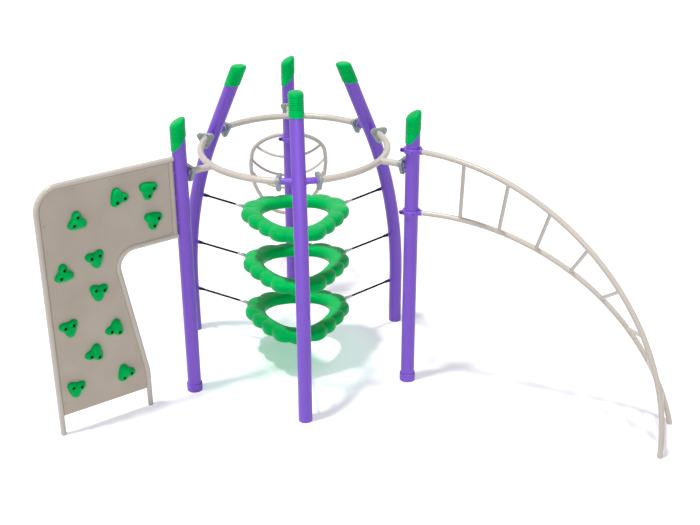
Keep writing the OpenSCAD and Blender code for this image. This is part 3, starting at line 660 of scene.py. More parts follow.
class Draft:
    """A mesh that is put together from simple closed forms."""

    def __init__(self) -> None:
        """Starts with nothing in it."""
        self.mesh = bmesh.new()

    def loft(self, rows: Sequence[Sequence[Point]], place: Matrix = Matrix(), hoop: bool = False) -> "Draft":
        """Skins a stack of closed rows of points.

        Args:
            rows: rows with the same number of points.
            place: where the form goes.
            hoop: joins the last row to the first, and otherwise both ends are closed.

        Returns:
            The draft itself.
        """
        verts = [[self.mesh.verts.new(place @ Vector(p)) for p in row] for row in rows]
        pairs = list(zip(verts, verts[1:])) + ([(verts[-1], verts[0])] if hoop else [])
        for low, high in pairs:
            for i in range(len(low)):
                j = (i + 1) % len(low)
                self.mesh.faces.new((low[i], low[j], high[j], high[i]))
        if not hoop:
            self.mesh.faces.new(verts[0][::-1])
            self.mesh.faces.new(verts[-1])
        return self

    def lathe(self, profile: Sequence[Flat], place: Matrix = Matrix(), sides: int = 32,
              hoop: bool = False) -> "Draft":
        """Turns a profile about the Z axis.

        Args:
            profile: points of radius and height.
            place: where the form goes.
            sides: points round the form.
            hoop: whether the profile closes on itself.

        Returns:
            The draft itself.
        """
        spots = [math.tau * i / sides for i in range(sides)]
        rows = [[(r * math.cos(a), r * math.sin(a), z) for a in spots] for r, z in profile]
        return self.loft(rows, place, hoop)

    def lathes(self, forms: Iterable[tuple[Sequence[Flat], float, int, bool]],
               place: Matrix = Matrix()) -> "Draft":
        """Turns several profiles about one axis.

        Args:
            forms: each profile, the height of its zero, its sides, and whether it is a hoop.
            place: where the forms go.

        Returns:
            The draft itself.
        """
        for profile, base, sides, hoop in forms:
            self.lathe([(r, base + z) for r, z in profile], place, sides, hoop)
        return self

    def slab(self, outline: Sequence[Flat], thickness: float, edge: float, place: Matrix) -> "Draft":
        """Makes a plate in the XY plane, from z = 0 up, with eased edges.

        Args:
            outline: points, anticlockwise.
            thickness: the plate's thickness.
            edge: width of its eased edges.
            place: where the form goes.

        Returns:
            The draft itself.
        """
        inner = inset(outline, edge)
        stack = ((inner, 0.0), (outline, edge), (outline, thickness - edge), (inner, thickness))
        return self.loft([[(x, y, z) for x, y in line] for line, z in stack], place)

    def ring_plate(self, outline: Sequence[Flat], hole: float, thickness: float, edge: float,
                   place: Matrix = Matrix()) -> "Draft":
        """Makes a plate like slab's, with a round hole at its origin.

        Args:
            outline: points, anticlockwise.
            hole: radius of the hole.
            thickness: the plate's thickness.
            edge: width of its eased edges.
            place: where the form goes.

        Returns:
            The draft itself.
        """
        inner = inset(outline, edge)
        angles = [math.atan2(y, x) for x, y in outline]
        mouth, bore = ([(r * math.cos(a), r * math.sin(a)) for a in angles] for r in (hole + edge, hole))
        stack = ((outline, edge), (outline, thickness - edge), (inner, thickness), (mouth, thickness),
                 (bore, thickness - edge), (bore, edge), (mouth, 0.0), (inner, 0.0))
        return self.loft([[(x, y, z) for x, y in line] for line, z in stack], place, hoop=True)

    def take(self, mesh: Mesh, place: Matrix = Matrix()) -> "Draft":
        """Adds a finished mesh, which is used up by this.

        Args:
            mesh: the mesh.
            place: where it goes.

        Returns:
            The draft itself.
        """
        mesh.transform(place)
        self.mesh.from_mesh(mesh)
        bpy.data.meshes.remove(mesh)
        return self

    def close(self, name: str) -> Mesh:
        """Merges doubles and turns the faces outwards, which ends the draft.

        Args:
            name: the mesh's name.

        Returns:
            The finished mesh.
        """
        bmesh.ops.remove_doubles(self.mesh, verts=self.mesh.verts, dist=1e-6)
        bmesh.ops.recalc_face_normals(self.mesh, faces=self.mesh.faces)
        for face in self.mesh.faces:
            face.smooth = True
            face.material_index = 0
        mesh = bpy.data.meshes.new(name)
        self.mesh.to_mesh(mesh)
        self.mesh.free()
        return mesh


class Workshop:
    """Holds the geometry trees, and turns drafts into finished pieces."""

    def __init__(self) -> None:
        """Builds the geometry trees."""
        self.tube_tree = self._tube_tree()
        self.copy_tree = self._copy_tree()
        self.rope_tree = self._rope_tree()

    def _new_tree(self, name: str, sockets: dict[str, str]) -> tuple[Tree, Any]:
        """Starts a geometry tree with named inputs.

        Args:
            name: the tree's name.
            sockets: type of each input, by its name.

        Returns:
            The tree and its group input's outputs.
        """
        tree = bpy.data.node_groups.new(name, "GeometryNodeTree")
        tree.interface.new_socket(name="Geometry", in_out="OUTPUT", socket_type="NodeSocketGeometry")
        for label, kind in (*sockets.items(), ("Finish", "Material")):
            tree.interface.new_socket(name=label, in_out="INPUT", socket_type="NodeSocket" + kind)
        return tree, tree.nodes.new("NodeGroupInput").outputs

    def _end_tree(self, tree: Tree, made: Socket, finish: Socket) -> Tree:
        """Ends a tree in Realize Instances and Set Material.

        Args:
            tree: the tree.
            made: the geometry that it makes.
            finish: the material to set.

        Returns:
            The tree itself.
        """
        real = add_node(tree, "GeometryNodeRealizeInstances", {"Geometry": made})
        dressed = add_node(tree, "GeometryNodeSetMaterial", {
            "Geometry": real.outputs[0], "Material": finish})
        add_node(tree, "NodeGroupOutput", {"Geometry": dressed.outputs[0]})
        return tree

    def _tube_tree(self) -> Tree:
        """Writes the tree that runs a round tube along a chain of edges.

        Returns:
            The tree.
        """
        tree, given = self._new_tree("tube_along_path", {
            "Path": "Geometry", "Radius": "Float", "Sides": "Int"})
        line = add_node(tree, "GeometryNodeMeshToCurve", {"Mesh": given["Path"]})
        section = add_node(tree, "GeometryNodeCurvePrimitiveCircle", {
            "Resolution": given["Sides"], "Radius": given["Radius"]})
        skin = add_node(tree, "GeometryNodeCurveToMesh", {
            "Curve": line.outputs[0], "Profile Curve": section.outputs[0], "Fill Caps": True})
        return self._end_tree(tree, skin.outputs[0], given["Finish"])

    def _copy_tree(self) -> Tree:
        """Writes the tree that puts a copy of a part on each point, turned as the point says.

        Returns:
            The tree.
        """
        tree, given = self._new_tree("copies_on_points", {"Points": "Geometry", "Part": "Object"})
        part = add_node(tree, "GeometryNodeObjectInfo", {"Object": given["Part"]})
        turned = add_node(tree, "GeometryNodeInputNamedAttribute", {"Name": "turn"},
                          data_type="FLOAT_VECTOR")
        rotation = add_node(tree, "FunctionNodeEulerToRotation", {0: turned.outputs["Attribute"]})
        copies = add_node(tree, "GeometryNodeInstanceOnPoints", {
            "Points": given["Points"], "Instance": part.outputs["Geometry"],
            "Rotation": rotation.outputs[0]})
        return self._end_tree(tree, copies.outputs[0], given["Finish"])

    def _rope_tree(self) -> Tree:
        """Writes the tree that lays strands round a straight core along Z.

        Returns:
            The tree.
        """
        tree, given = self._new_tree("laid_rope", {
            "Start": "Geometry", "Length": "Float", "Turns": "Float", "Strands": "Int",
            "Strand Radius": "Float", "Lay Radius": "Float"})
        strand = add_node(tree, "GeometryNodeCurveSpiral", {
            "Resolution": 14, "Rotations": given["Turns"], "Start Radius": given["Lay Radius"],
            "End Radius": given["Lay Radius"], "Height": given["Length"]})
        section = add_node(tree, "GeometryNodeCurvePrimitiveCircle", {
            "Resolution": 8, "Radius": given["Strand Radius"]})
        skin = add_node(tree, "GeometryNodeCurveToMesh", {
            "Curve": strand.outputs[0], "Profile Curve": section.outputs[0], "Fill Caps": True})
        starts = add_node(tree, "GeometryNodeMeshLine", {"Count": given["Strands"], "Offset": (0, 0, 0)})
        number = add_node(tree, "GeometryNodeInputIndex")
        share = add_node(tree, "ShaderNodeMath", {0: number.outputs[0], 1: given["Strands"]},
                         operation="DIVIDE")
        whole = add_node(tree, "ShaderNodeMath", {0: share.outputs[0], 1: math.tau}, operation="MULTIPLY")
        angle = add_node(tree, "ShaderNodeCombineXYZ", {"Z": whole.outputs[0]})
        rotation = add_node(tree, "FunctionNodeEulerToRotation", {0: angle.outputs[0]})
        laid = add_node(tree, "GeometryNodeInstanceOnPoints", {
            "Points": starts.outputs[0], "Instance": skin.outputs[0], "Rotation": rotation.outputs[0]})
        return self._end_tree(tree, laid.outputs[0], given["Finish"])

    def bake(self, mesh: Mesh, tree: Tree, finish: Finish, values: dict[str, Any]) -> Mesh:
        """Runs a tree on a mesh.

        Args:
            mesh: the mesh that the tree starts from, which is used up by this.
            tree: the tree.
            finish: the finish that it sets.
            values: the tree's other inputs by name.

        Returns:
            The plain mesh that comes out.
        """
        holder = put("holder", mesh)
        modifier = holder.modifiers.new("make", "NODES")
        modifier.node_group = tree
        values = {**values, "Finish": finish.material()}
        for item in tree.interface.items_tree:
            if item.in_out == "INPUT" and item.name in values:
                modifier[item.identifier] = values[item.name]
        baked = shaped(holder)
        scrap(holder)
        return baked

    def tube(self, points: Sequence[Sequence[float]], radius: float, finish: Finish,
             sides: int = TUBE_SIDES, hoop: bool = False) -> Mesh:
        """Makes a round tube that follows points.

        Args:
            points: the tube's centre line.
            radius: its radius.
            finish: its finish.
            sides: points round it.
            hoop: whether it is joined to its start.

        Returns:
            The tube's mesh.
        """
        edges = [(i, i + 1) for i in range(len(points) - 1)]
        if hoop:
            edges.append((len(points) - 1, 0))
        return self.bake(raw_mesh("path", points, edges), self.tube_tree, finish,
                         {"Radius": radius, "Sides": sides})

    def cut(self, body: Draft, cutter: Draft) -> Mesh:
        """Cuts one draft out of another, and uses both up.

        Args:
            body: what stays.
            cutter: what is taken away.

        Returns:
            The body's mesh less the cutter.
        """
        solid, tool = put("solid", body.close("solid")), put("tool", cutter.close("tool"))
        step = solid.modifiers.new("cut", "BOOLEAN")
        step.operation, step.solver, step.object, step.use_self = "DIFFERENCE", "EXACT", tool, True
        made = shaped(solid)
        scrap(solid, tool)
        return made

    def copies(self, part: Mesh, places: Sequence[Matrix], finish: Finish) -> Mesh:
        """Puts a copy of a part at each place.

        Args:
            part: the part's mesh, which is used up by this.
            places: the places.
            finish: the part's finish.

        Returns:
            One mesh of all the copies.
        """
        template = put("template", part)
        points = raw_mesh("points", [place.translation for place in places])
        turns = points.attributes.new("turn", "FLOAT_VECTOR", "POINT")
        for item, place in zip(turns.data, places):
            item.vector = place.to_euler()
        baked = self.bake(points, self.copy_tree, finish, {"Part": template})
        scrap(template)
        return baked

    def piece(self, draft: Draft, name: str, finish: Finish, body: str = FRAME_BODY,
              nodes: Sequence[str] = (), sharp: float = 32.0) -> None:
        """Makes a draft into a piece of the object.

        Args:
            draft: the draft, which is used up by this.
            name: the piece's name.
            finish: its finish.
            body: the body that it rides on.
            nodes: the nodes that it stands for.
            sharp: edges turn sharp above this angle.
        """
        mesh = draft.close(name)
        mesh.materials.clear()
        mesh.materials.append(finish.material())
        mesh.set_sharp_from_angle(angle=math.radians(sharp))
        made = put(name, mesh)
        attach(made, body)
        if nodes:
            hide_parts(*nodes)
        LOG.info("%s: %d faces on %s", name, len(mesh.polygons), body)

    def set_of(self, part: Mesh, places: Sequence[Matrix], name: str, finish: Finish, **how: Any) -> None:
        """Makes one piece of copies of a part, with piece's other settings in how."""
        self.piece(Draft().take(self.copies(part, places, finish)), name, finish, **how)

    def weld(self, main_r: float, branch_r: float, bead: float, finish: Finish,
             steps: int = TUBE_SIDES) -> Mesh:
        """Makes the weld bead of a branch along X on a tube along Z.

        Args:
            main_r: the tube's radius.
            branch_r: the branch's radius.
            bead: radius of the bead.
            finish: its finish.
            steps: points along the bead.

        Returns:
            The bead's mesh.
        """
        line = []
        for i in range(steps):
            angle = math.tau * i / steps
            y = branch_r * math.cos(angle)
            line.append((math.sqrt(max(0.0, main_r ** 2 - y ** 2)), y, branch_r * math.sin(angle)))
        return self.tube(line, bead, finish, BEAD_SIDES, hoop=True)

    def bolt(self, across: float, shank: float, grip: float, head: float, nut: float) -> Mesh:
        """Makes a hexagon bolt along Z: its head under z = 0, its washers and nut round the grip.

        Args:
            across: width of head and nut across their flats.
            shank: the shank's radius.
            grip: thickness of what the bolt holds.
            head: height of the head.
            nut: height of the nut.

        Returns:
            The bolt's mesh.
        """
        # a washer's thickness, and the head's and the nut's eased edges as shares of their size
        washer_t, ease, face = 0.0012, 0.16, 0.86
        corner = across / math.sqrt(3)
        draft = Draft()
        for low, high in ((-head, 0.0), (grip, grip + nut)):
            draft.lathe(eased(corner, low, high, (high - low) * ease, face), sides=6)
        draft.lathe(((shank * 0.7, grip), (shank, grip + nut), (shank, grip + nut + shank * 0.4),
                     (shank * 0.8, grip + nut + shank * 0.5)), sides=20)
        outer, inner = corner * 1.18, corner * 0.9
        for low in (-washer_t, grip):
            draft.lathe(oblong((inner, low), (outer, low + washer_t)), sides=ROD_SIDES, hoop=True)
        return draft.close("bolt")


@dataclass
class Assembly:
    """A sub-assembly, which builds its own pieces from the shared layout."""

    layout: Layout
    shop: Workshop

    def build(self) -> None:
        """Builds every piece of the sub-assembly."""
        raise NotImplementedError


# Posts and ring

@dataclass
class Posts(Assembly):
    """The six posts with their stubs, lugs, sleeves and caps."""

    # distance from a straight post's axis to its stub's inner end
    stub_sunk: float = 0.03
    stub_bead: float = 0.0035
    lug_r: float = 0.018
    lug_t: float = 0.010
    lug_neck: float = 0.012
    lug_root: float = 0.045
    lug_edge: float = 0.0012
    lug_bead: float = 0.003
    # how far a lug's seams lean with the post
    seam_lean: float = 0.001
    pin_hole: float = 0.00605
    sleeve_h: float = 0.075
    sleeve_wall: float = 0.010
    sleeve_gap: float = 0.0003
    cap_r: float = 0.069
    cap_len: float = 0.210
    cap_wall: float = 0.005
    cap_slant: float = 28.0
    cap_rim: float = 48.0
    cap_round: float = 0.026
    cap_turn: float = 192.0
    cap_sides: int = 96
    # the cap's top over the post's end, and the crown's rows of radius and rise
    cap_top: float = 0.010
    crown: tuple[Flat, ...] = ((0.036, 0.0016), (0.024, 0.0030), (0.012, 0.0036))
    # the lower edge's easing, and how far it drops below its middle at most
    rim_ease: float = 0.0015
    rim_drop: float = 0.058
    grooves: int = 6
    groove_pitch: float = 0.020
    groove_r: float = 0.0058
    groove_out: float = 0.0018

    def build(self) -> None:
        """Builds every piece of the posts."""
        for post in Bent:
            self.bent(post)
        for post in Straight:
            self.straight(post)
        self.sleeves()
        self.caps()

    def head(self, slant: float) -> float:
        """Returns the length that a post stops short of the middle of its cap's top."""
        return self.cap_r * tan(slant) + self.cap_top

    def bent(self, post: Bent) -> None:
        """Builds a bent post with its curved stubs and its rope lugs.

        Args:
            post: which of the bent posts.
        """
        size = self.layout
        lean = size.bend_angle
        line = [(size.bent_foot_r, 0, size.bend_start * k / 6) for k in range(6)]
        for angle in evenly(0, lean, 61):
            z = size.bend_start + size.bend_r * sin(angle)
            line.append((size.axis(z), 0, z))
        run = size.lean_len - self.head(lean)
        line.append((line[-1][0] - run * sin(lean), 0, line[-1][2] + run * cos(lean)))
        place = turn(post.value)
        draft = Draft().take(self.shop.tube(line, size.post_r, VIOLET, POST_SIDES), place)
        span = size.stub_angle - size.joint_turn
        stub = [(x, y, size.ring_z) for x, y in arc((0, 0), size.ring_r, -span, span, 24)]
        draft.take(self.shop.tube(stub, size.tube_r, VIOLET, STUB_SIDES), place)
        tilt = move(size.ring_r, 0, size.ring_z) @ turn(-size.lean(size.ring_z), "Y")
        for side in (90, -90):
            bead = self.shop.weld(size.post_r, size.tube_r, self.stub_bead, VIOLET)
            draft.take(bead, place @ tilt @ turn(side))
        for level in Level:
            self.lug(draft, place, size.pin(level))
        name = f"bent_post_{post.word}"
        self.shop.piece(draft, f"{name}_tube", VIOLET, nodes=[name])

    def lug(self, draft: Draft, post: Matrix, pin: Flat) -> None:
        """Adds a rope lug with the weld beads along its root.

        Args:
            draft: the post's draft.
            post: the post's place.
            pin: radius and height of the rope's pin.
        """
        radius, z = pin
        half = self.lug_t / 2
        draft.ring_plate(tongue(self.lug_r, self.lug_neck, self.lug_root, 20), self.pin_hole, self.lug_t,
                         self.lug_edge, post @ move(radius, half, z) @ turn(90, "X"))
        face = radius + self.layout.pin_out
        for y in (-half, half):
            seam = ((face, y, z - self.lug_r), (face + self.seam_lean, y, z + self.lug_r))
            draft.take(self.shop.tube(seam, self.lug_bead, VIOLET, BEAD_SIDES), post)

    def straight(self, post: Straight) -> None:
        """Builds a straight post with the stub that points to the ring.

        Args:
            post: which of the straight posts.
        """
        size = self.layout
        place = turn(post.value) @ move(size.straight_foot_r)
        line = ((0, 0, 0), (0, 0, size.straight_h - self.head(self.cap_slant)))
        draft = Draft().take(self.shop.tube(line, size.post_r, VIOLET, POST_SIDES), place)
        tip = size.branch_r + size.joint_gap - size.straight_foot_r
        stub = ((-self.stub_sunk, 0, size.ring_z), (tip, 0, size.ring_z))
        draft.take(self.shop.tube(stub, size.tube_r, VIOLET, STUB_SIDES), place)
        bead = self.shop.weld(size.post_r, size.tube_r, self.stub_bead, VIOLET)
        draft.take(bead, place @ move(z=size.ring_z) @ turn(180))
        name = f"straight_post_{post.word}"
        self.shop.piece(draft, f"{name}_tube", VIOLET, nodes=[name])

    def sleeves(self) -> None:
        """Builds the sleeves round the feet of the straight posts."""
        inner = self.layout.post_r + self.sleeve_gap
        outer = self.layout.post_r + self.sleeve_wall
        ease = self.sleeve_wall / 2
        rim = arc((outer - ease, self.sleeve_h - ease), ease, 0, 90, 6)
        part = Draft().lathe([(inner, 0), (outer, 0), *rim, (inner, self.sleeve_h)], sides=64, hoop=True)
        places = [turn(p.value) @ move(self.layout.straight_foot_r) for p in Straight]
        self.shop.set_of(part.close("sleeve"), places, "foot_sleeve_rings", VIOLET, nodes=["foot_sleeves"])

    def cap(self, slant: float, rim: float) -> Mesh:
        """Makes a cap whose slanted top has its middle at the origin.

        Args:
            slant: slope of its top.
            rim: slope of its lower edge.

        Returns:
            The cap's mesh, with moulded grooves round it.
        """
        low, foot = tan(rim), -self.cap_len
        rows = [(self.cap_r - self.cap_wall, foot, low), (self.cap_r - self.rim_ease, foot, low),
                (self.cap_r, foot + self.rim_ease, low)]
        shoulder = arc((self.cap_r - self.cap_round, -self.cap_round), self.cap_round, 0, 90, 10)
        rows += [(radius, z, tan(slant)) for radius, z in (*shoulder, *self.crown)]
        spots = [math.tau * i / self.cap_sides for i in range(self.cap_sides)]
        points = [[(radius * math.cos(a), radius * math.sin(a),
                    z - min(lean * radius * math.cos(a), self.rim_drop)) for a in spots]
                  for radius, z, lean in rows]
        grooves = Draft()
        for k in range(self.grooves):
            z = -self.cap_len / 2 + self.cap_round / 4 + (1.5 - k) * self.groove_pitch
            ring = arc((self.cap_r + self.groove_out, z), self.groove_r, 0, 324, 9)
            grooves.lathe(ring, sides=self.cap_sides, hoop=True)
        return self.shop.cut(Draft().loft(points), grooves)

    def caps(self) -> None:
        """Builds the six caps: the bent posts' are cut level, the others slope one way."""
        size = self.layout
        lean = size.bend_angle
        top = size.bent_foot_r - size.bend_r * (1 - cos(lean))
        leaning = [turn(p.value) @ move(top, 0, size.bend_end) @ turn(-lean, "Y") @ move(z=size.lean_len)
                   for p in Bent]
        foot = move(size.straight_foot_r, 0, size.straight_h)
        upright = [turn(p.value) @ foot @ turn(self.cap_turn - p.value) for p in Straight]
        for kind, part, places, posts in (
                ("bent", self.cap(lean, lean), leaning, Bent),
                ("straight", self.cap(self.cap_slant, self.cap_rim), upright, Straight)):
            self.shop.set_of(part, places, f"{kind}_post_caps", GREEN, sharp=40,
                             nodes=[f"cap_{kind}_{p.word}" for p in posts])


@dataclass
class TopRing(Assembly):
    """The top ring: three arcs with branches, and the cast flanges that join them to the posts."""

    bead: float = 0.003
    flange_w: float = 0.165
    flange_h: float = 0.148
    # share of the flange's height that lies over its tube's axis
    flange_up: float = 0.37
    flange_r: float = 0.025
    flange_t: float = 0.016
    flange_gap: float = 0.0003
    flange_edge: float = 0.002
    # the raised hub's points: beyond the tube's skin, and beyond the flange's face
    hub: tuple[Flat, ...] = (
        (0.0004, -0.003), (0.009, -0.003), (0.006, 0.003), (0.003, 0.006), (0.0004, 0.0065))
    bolt_d: float = 0.012

    def build(self) -> None:
        """Builds the arcs, the flanges and their bolts."""
        for post in Straight:
            self.third(post)
        self.flanges("post_side_flanges", "post_flanges", -1)
        self.flanges("ring_side_flanges", "arc_flanges", 1)
        self.bolts()

    def third(self, post: Straight) -> None:
        """Builds a third of the ring with its branch and the weld between them.

        Args:
            post: the straight post in the middle of this third.
        """
        size = self.layout
        place = turn(post.value) @ move(z=size.ring_z)
        half = 60 - size.stub_angle - size.joint_turn
        line = [(x, y, 0) for x, y in arc((0, 0), size.ring_r, -half, half, 72)]
        branch = ((size.ring_r, 0, 0), (size.branch_r - size.joint_gap, 0, 0))
        draft = Draft()
        for run in (line, branch):
            draft.take(self.shop.tube(run, size.tube_r, SAND), place)
        bead = self.shop.weld(size.tube_r, size.tube_r, self.bead, SAND)
        draft.take(bead, place @ move(size.ring_r) @ turn(90, "X"))
        name = f"ring_arc_{post.word}"
        self.shop.piece(draft, f"{name}_tube", SAND, nodes=[name])

    @property
    def corners(self) -> list[Flat]:
        """Finds the centres of a flange's round corners.

        Returns:
            The centres, anticlockwise.
        """
        top = self.flange_h * self.flange_up - self.flange_r
        side = self.flange_w / 2 - self.flange_r
        return [(0, top - self.flange_h + 2 * self.flange_r), (side, top), (-side, top)]

    def flanges(self, name: str, node: str, way: int) -> None:
        """Builds the nine flanges of one side, each with a raised hub round its tube.

        Args:
            name: the piece's name.
            node: the node that it stands for.
            way: 1 on the ring's side of the joint and -1 on the post's side.
        """
        tube = self.layout.tube_r
        face = way * self.flange_t
        plate = Draft().ring_plate(rounded(self.corners, self.flange_r, 10), tube + self.flange_gap,
                                   self.flange_t, self.flange_edge, move(z=min(0.0, face)))
        plate.lathe([(tube + r, face + way * z) for r, z in self.hub], sides=TUBE_SIDES, hoop=True)
        self.shop.set_of(plate.close("flange"), self.layout.flange_places(), name, CASTING, nodes=[node])

    def bolts(self) -> None:
        """Builds the three bolts of each flange joint."""
        part = self.shop.bolt(self.bolt_d * 1.6, self.bolt_d / 2, 2 * self.flange_t, self.bolt_d * 0.55,
                              self.bolt_d * 0.7)
        places = [place @ move(x, y, -self.flange_t) for place in self.layout.flange_places()
                  for x, y in self.corners]
        self.shop.set_of(part, places, "flange_bolt_set", ZINC, nodes=["flange_bolts"])


# Climbing wall

@dataclass
class ClimbingWall(Assembly):
    """The wall beside the left post: bent tubes, a sheet between them, and climbing holds.

    Its plane has s, the distance from the post's axis, and z, the height.
    """

    tube_r: float = 0.02415
    bead: float = 0.0025
    out_s: float = 1.320
    in_s: float = 0.465
    post_s: float = 0.091
    top_z: float = 2.342
    arm_z: float = 1.622
    low_z: float = 0.190
    kink_z: float = 0.370
    # height of the outer leg's middle point
    leg_middle: float = 1.0
    lean: float = 10.0
    corner_r: float = 0.210
    arm_r: float = 0.165
    kink_r: float = 0.300
    # the upright is a hair thinner than the tubes whose ends it covers
    upright_share: float = 0.995
    standoff_r: float = 0.018
    standoff_inset: float = 0.127
    # ends of a stand-off, from the post's axis and from the upright's
    standoff_start: float = 0.055
    standoff_short: float = 0.015
    sheet_t: float = 0.015
    sheet_edge: float = 0.0015
    sheet_gap: float = 0.0009
    tab_l: float = 0.052
    tab_t: float = 0.005
    tab_inset: float = 0.120
    # corners of a tab's round ends, from its screw
    tab_low: Flat = (-0.012, -0.012)
    tab_high: Flat = (0.0207, 0.012)
    tab_r: float = 0.008
    # profiles of radius and height from the sheet's front or the tab's back
    screw_head: tuple[Flat, ...] = ((0.0078, 0), (0.0074, 0.0012), (0.0045, 0.0034), (0.0020, 0.0039))
    screw_nut: tuple[Flat, ...] = ((0.0074, -0.0064), (0.0074, 0))
    screw_end: tuple[Flat, ...] = ((0.0036, -0.0080), (0.0040, -0.0072), (0.0040, 0))
    hold_pitch: float = 0.076
    hold_r: float = 0.074
    hold_h: float = 0.052
    hold_lobe: float = 0.25
    # how much one waist of a hold is filled, over what angle in radians, and on which side
    hold_fill: float = 0.20
    fill_width: float = 0.42
    right_waist: float = 30.0
    left_waist: float = 150.0
    left_holds: tuple[int, ...] = (1, 4, 7, 10)
    # height of the bolts' seats in a hold, the pocket over a seat, and the bolt's hole under it
    seat: float = 0.014
    pocket: tuple[Flat, ...] = ((0.0140, 0.0), (0.0145, 0.020), (0.0200, 0.056))
    bolt_hole: tuple[Flat, ...] = ((0.0053, -0.024), (0.0053, 0.002))
    # profiles of radius and height from the seat or the sheet's back
    bolt_head: tuple[Flat, ...] = (
        (0.0080, 0), (0.0090, 0.001), (0.0090, 0.009), (0.0084, 0.010), (0.0046, 0.010), (0.0044, 0.005))
    # a black cup that lines the pocket's wall and floor: painted shade in the deep pocket
    bolt_cup: tuple[Flat, ...] = (
        (0.0132, 0.0002), (0.0136, 0.001), (0.0140, 0.020), (0.0132, 0.020), (0.0126, 0.0022),
        (0.0060, 0.0016), (0.0060, 0.0002))
    bolt_nut: tuple[Flat, ...] = ((0.0080, -0.0078), (0.0092, -0.007), (0.0092, -0.0002))
    bolt_end: tuple[Flat, ...] = ((0.0044, -0.0098), (0.0050, -0.009), (0.0050, 0))
    # distance from the upright, distance below the top rail, turn of the two bolts' line
    arm_holds: tuple[Point, ...] = (
        (.215, .235, 128), (.500, .245, 161), (.190, .520, 127), (.915, .335, -60))
    # distance from the outer leg, height above the sheet's edge, turn
    leg_holds: tuple[Point, ...] = (
        (.454, 1.452, -8), (.149, 1.375, -63), (.464, 1.135, 9), (.155, .872, -7), (.567, .692, 198),
        (.357, .509, 199), (.642, .218, 161), (.163, .265, 10))

    def __post_init__(self) -> None:
        """Works out the bends that the tubes and the sheet share."""
        self.place = turn(Straight.LEFT.value) @ move(self.layout.straight_foot_r)
        self.slope = tan(self.lean)
        self.bend_len = self.arm_r * tan((90 + self.lean) / 2)
        self.end_s = self.post_s - self.tube_r
        cross_s = self.in_s + (self.arm_z - self.kink_z) * self.slope
        self.corner = (self.out_s - self.corner_r, self.top_z - self.corner_r)
        self.bend = (cross_s - self.bend_len, self.arm_z - self.arm_r)
        self.kink = (self.in_s + self.kink_r, self.kink_z - self.kink_r * tan(self.lean / 2))

    def build(self) -> None:
        """Builds every piece of the wall."""
        self.tubes()
        self.upright()
        self.standoffs()
        self.sheet()
        self.tabs()
        self.holds()

    def tubes(self) -> None:
        """Builds the outer tube and the inner tube."""
        outer = [(self.out_s, 0), (self.out_s, self.leg_middle), *arc(self.corner, self.corner_r, 0, 90, 20),
                 (self.end_s, self.top_z)]
        inner = [(self.in_s, 0), *arc(self.kink, self.kink_r, 180, 180 - self.lean, 6),
                 *arc(self.bend, self.arm_r, -self.lean, 90, 22), (self.end_s, self.arm_z)]
        for kind, line in (("outer", outer), ("inner", inner)):
            tube = self.shop.tube([(s, 0, z) for s, z in line], self.tube_r, SAND)
            self.shop.piece(Draft().take(tube, self.place), f"wall_{kind}_tube", SAND,
                            nodes=[f"wall_tube_{kind}"])

    def upright(self) -> None:
        """Builds the short upright beside the post, with its weld beads."""
        line = ((self.post_s, 0, self.arm_z), (self.post_s, 0, self.top_z))
        draft = Draft().take(self.shop.tube(line, self.tube_r * self.upright_share, SAND), self.place)
        for z, way in ((self.arm_z, -90), (self.top_z, 90)):
            draft.take(self.shop.weld(self.tube_r, self.tube_r, self.bead, SAND),
                       self.place @ move(self.post_s, 0, z) @ turn(way, "Y") @ turn(90, "X"))
        self.shop.piece(draft, "wall_post_upright", SAND_UPRIGHT, nodes=["wall_upright"])

    def standoffs(self) -> None:
        """Builds the stand-offs that carry the upright on the post."""
        draft = Draft()
        for z in evenly(self.arm_z + self.standoff_inset, self.top_z - self.standoff_inset, 3):
            line = ((self.standoff_start, 0, z), (self.post_s - self.standoff_short, 0, z))
            draft.take(self.shop.tube(line, self.standoff_r, VIOLET, ROD_SIDES), self.place)
            bead = self.shop.weld(self.layout.post_r, self.standoff_r, self.bead, VIOLET, ROD_SIDES)
            draft.take(bead, self.place @ move(z=z))
        self.shop.piece(draft, "wall_standoff_stubs", VIOLET, nodes=["wall_standoffs"])

    def sheet(self) -> None:
        """Builds the sheet between the tubes, with eased edges."""
        gap = self.tube_r + self.sheet_gap
        outline = [(self.in_s + gap, self.low_z), (self.out_s - gap, self.low_z),
                   *arc(self.corner, self.corner_r - gap, 0, 90, 16),
                   (self.post_s + gap, self.top_z - gap), (self.post_s + gap, self.arm_z + gap),
                   *arc(self.bend, self.arm_r + gap, 90, -self.lean, 20),
                   *arc(self.kink, self.kink_r - gap, 180 - self.lean, 180, 4)]
        upright = self.place @ move(y=self.sheet_t / 2) @ turn(90, "X")
        draft = Draft().slab(outline, self.sheet_t, self.sheet_edge, upright)
        self.shop.piece(draft, "climbing_sheet", SAND_SHEET, nodes=["wall_sheet"])

    def tab_places(self) -> list[Matrix]:
        """Finds the place of each tab's screw.

        Returns:
            The places, whose X points to the tube and Z to the sheet's front.
        """
        gap = self.tab_inset
        end = self.corner_r + gap
        tabs = [(self.out_s, z, 0) for z in evenly(self.low_z + gap, self.top_z - end, 3)]
        tabs += [(s, self.top_z, 90) for s in evenly(self.post_s + 2 * gap, self.out_s - end, 3)]
        tabs += [(self.in_s + (z - self.kink_z) * self.slope, z, 180 - self.lean)
                 for z in (self.kink_z + gap, self.arm_z - self.bend_len - 2 * gap)]
        tabs.append((self.post_s, (self.arm_z + self.top_z) / 2, 180))
        return [self.place @ move(s, 0, z) @ turn(180) @ turn(90, "X") @ turn(180 - way) @ move(-self.tab_l)
                for s, z, way in tabs]

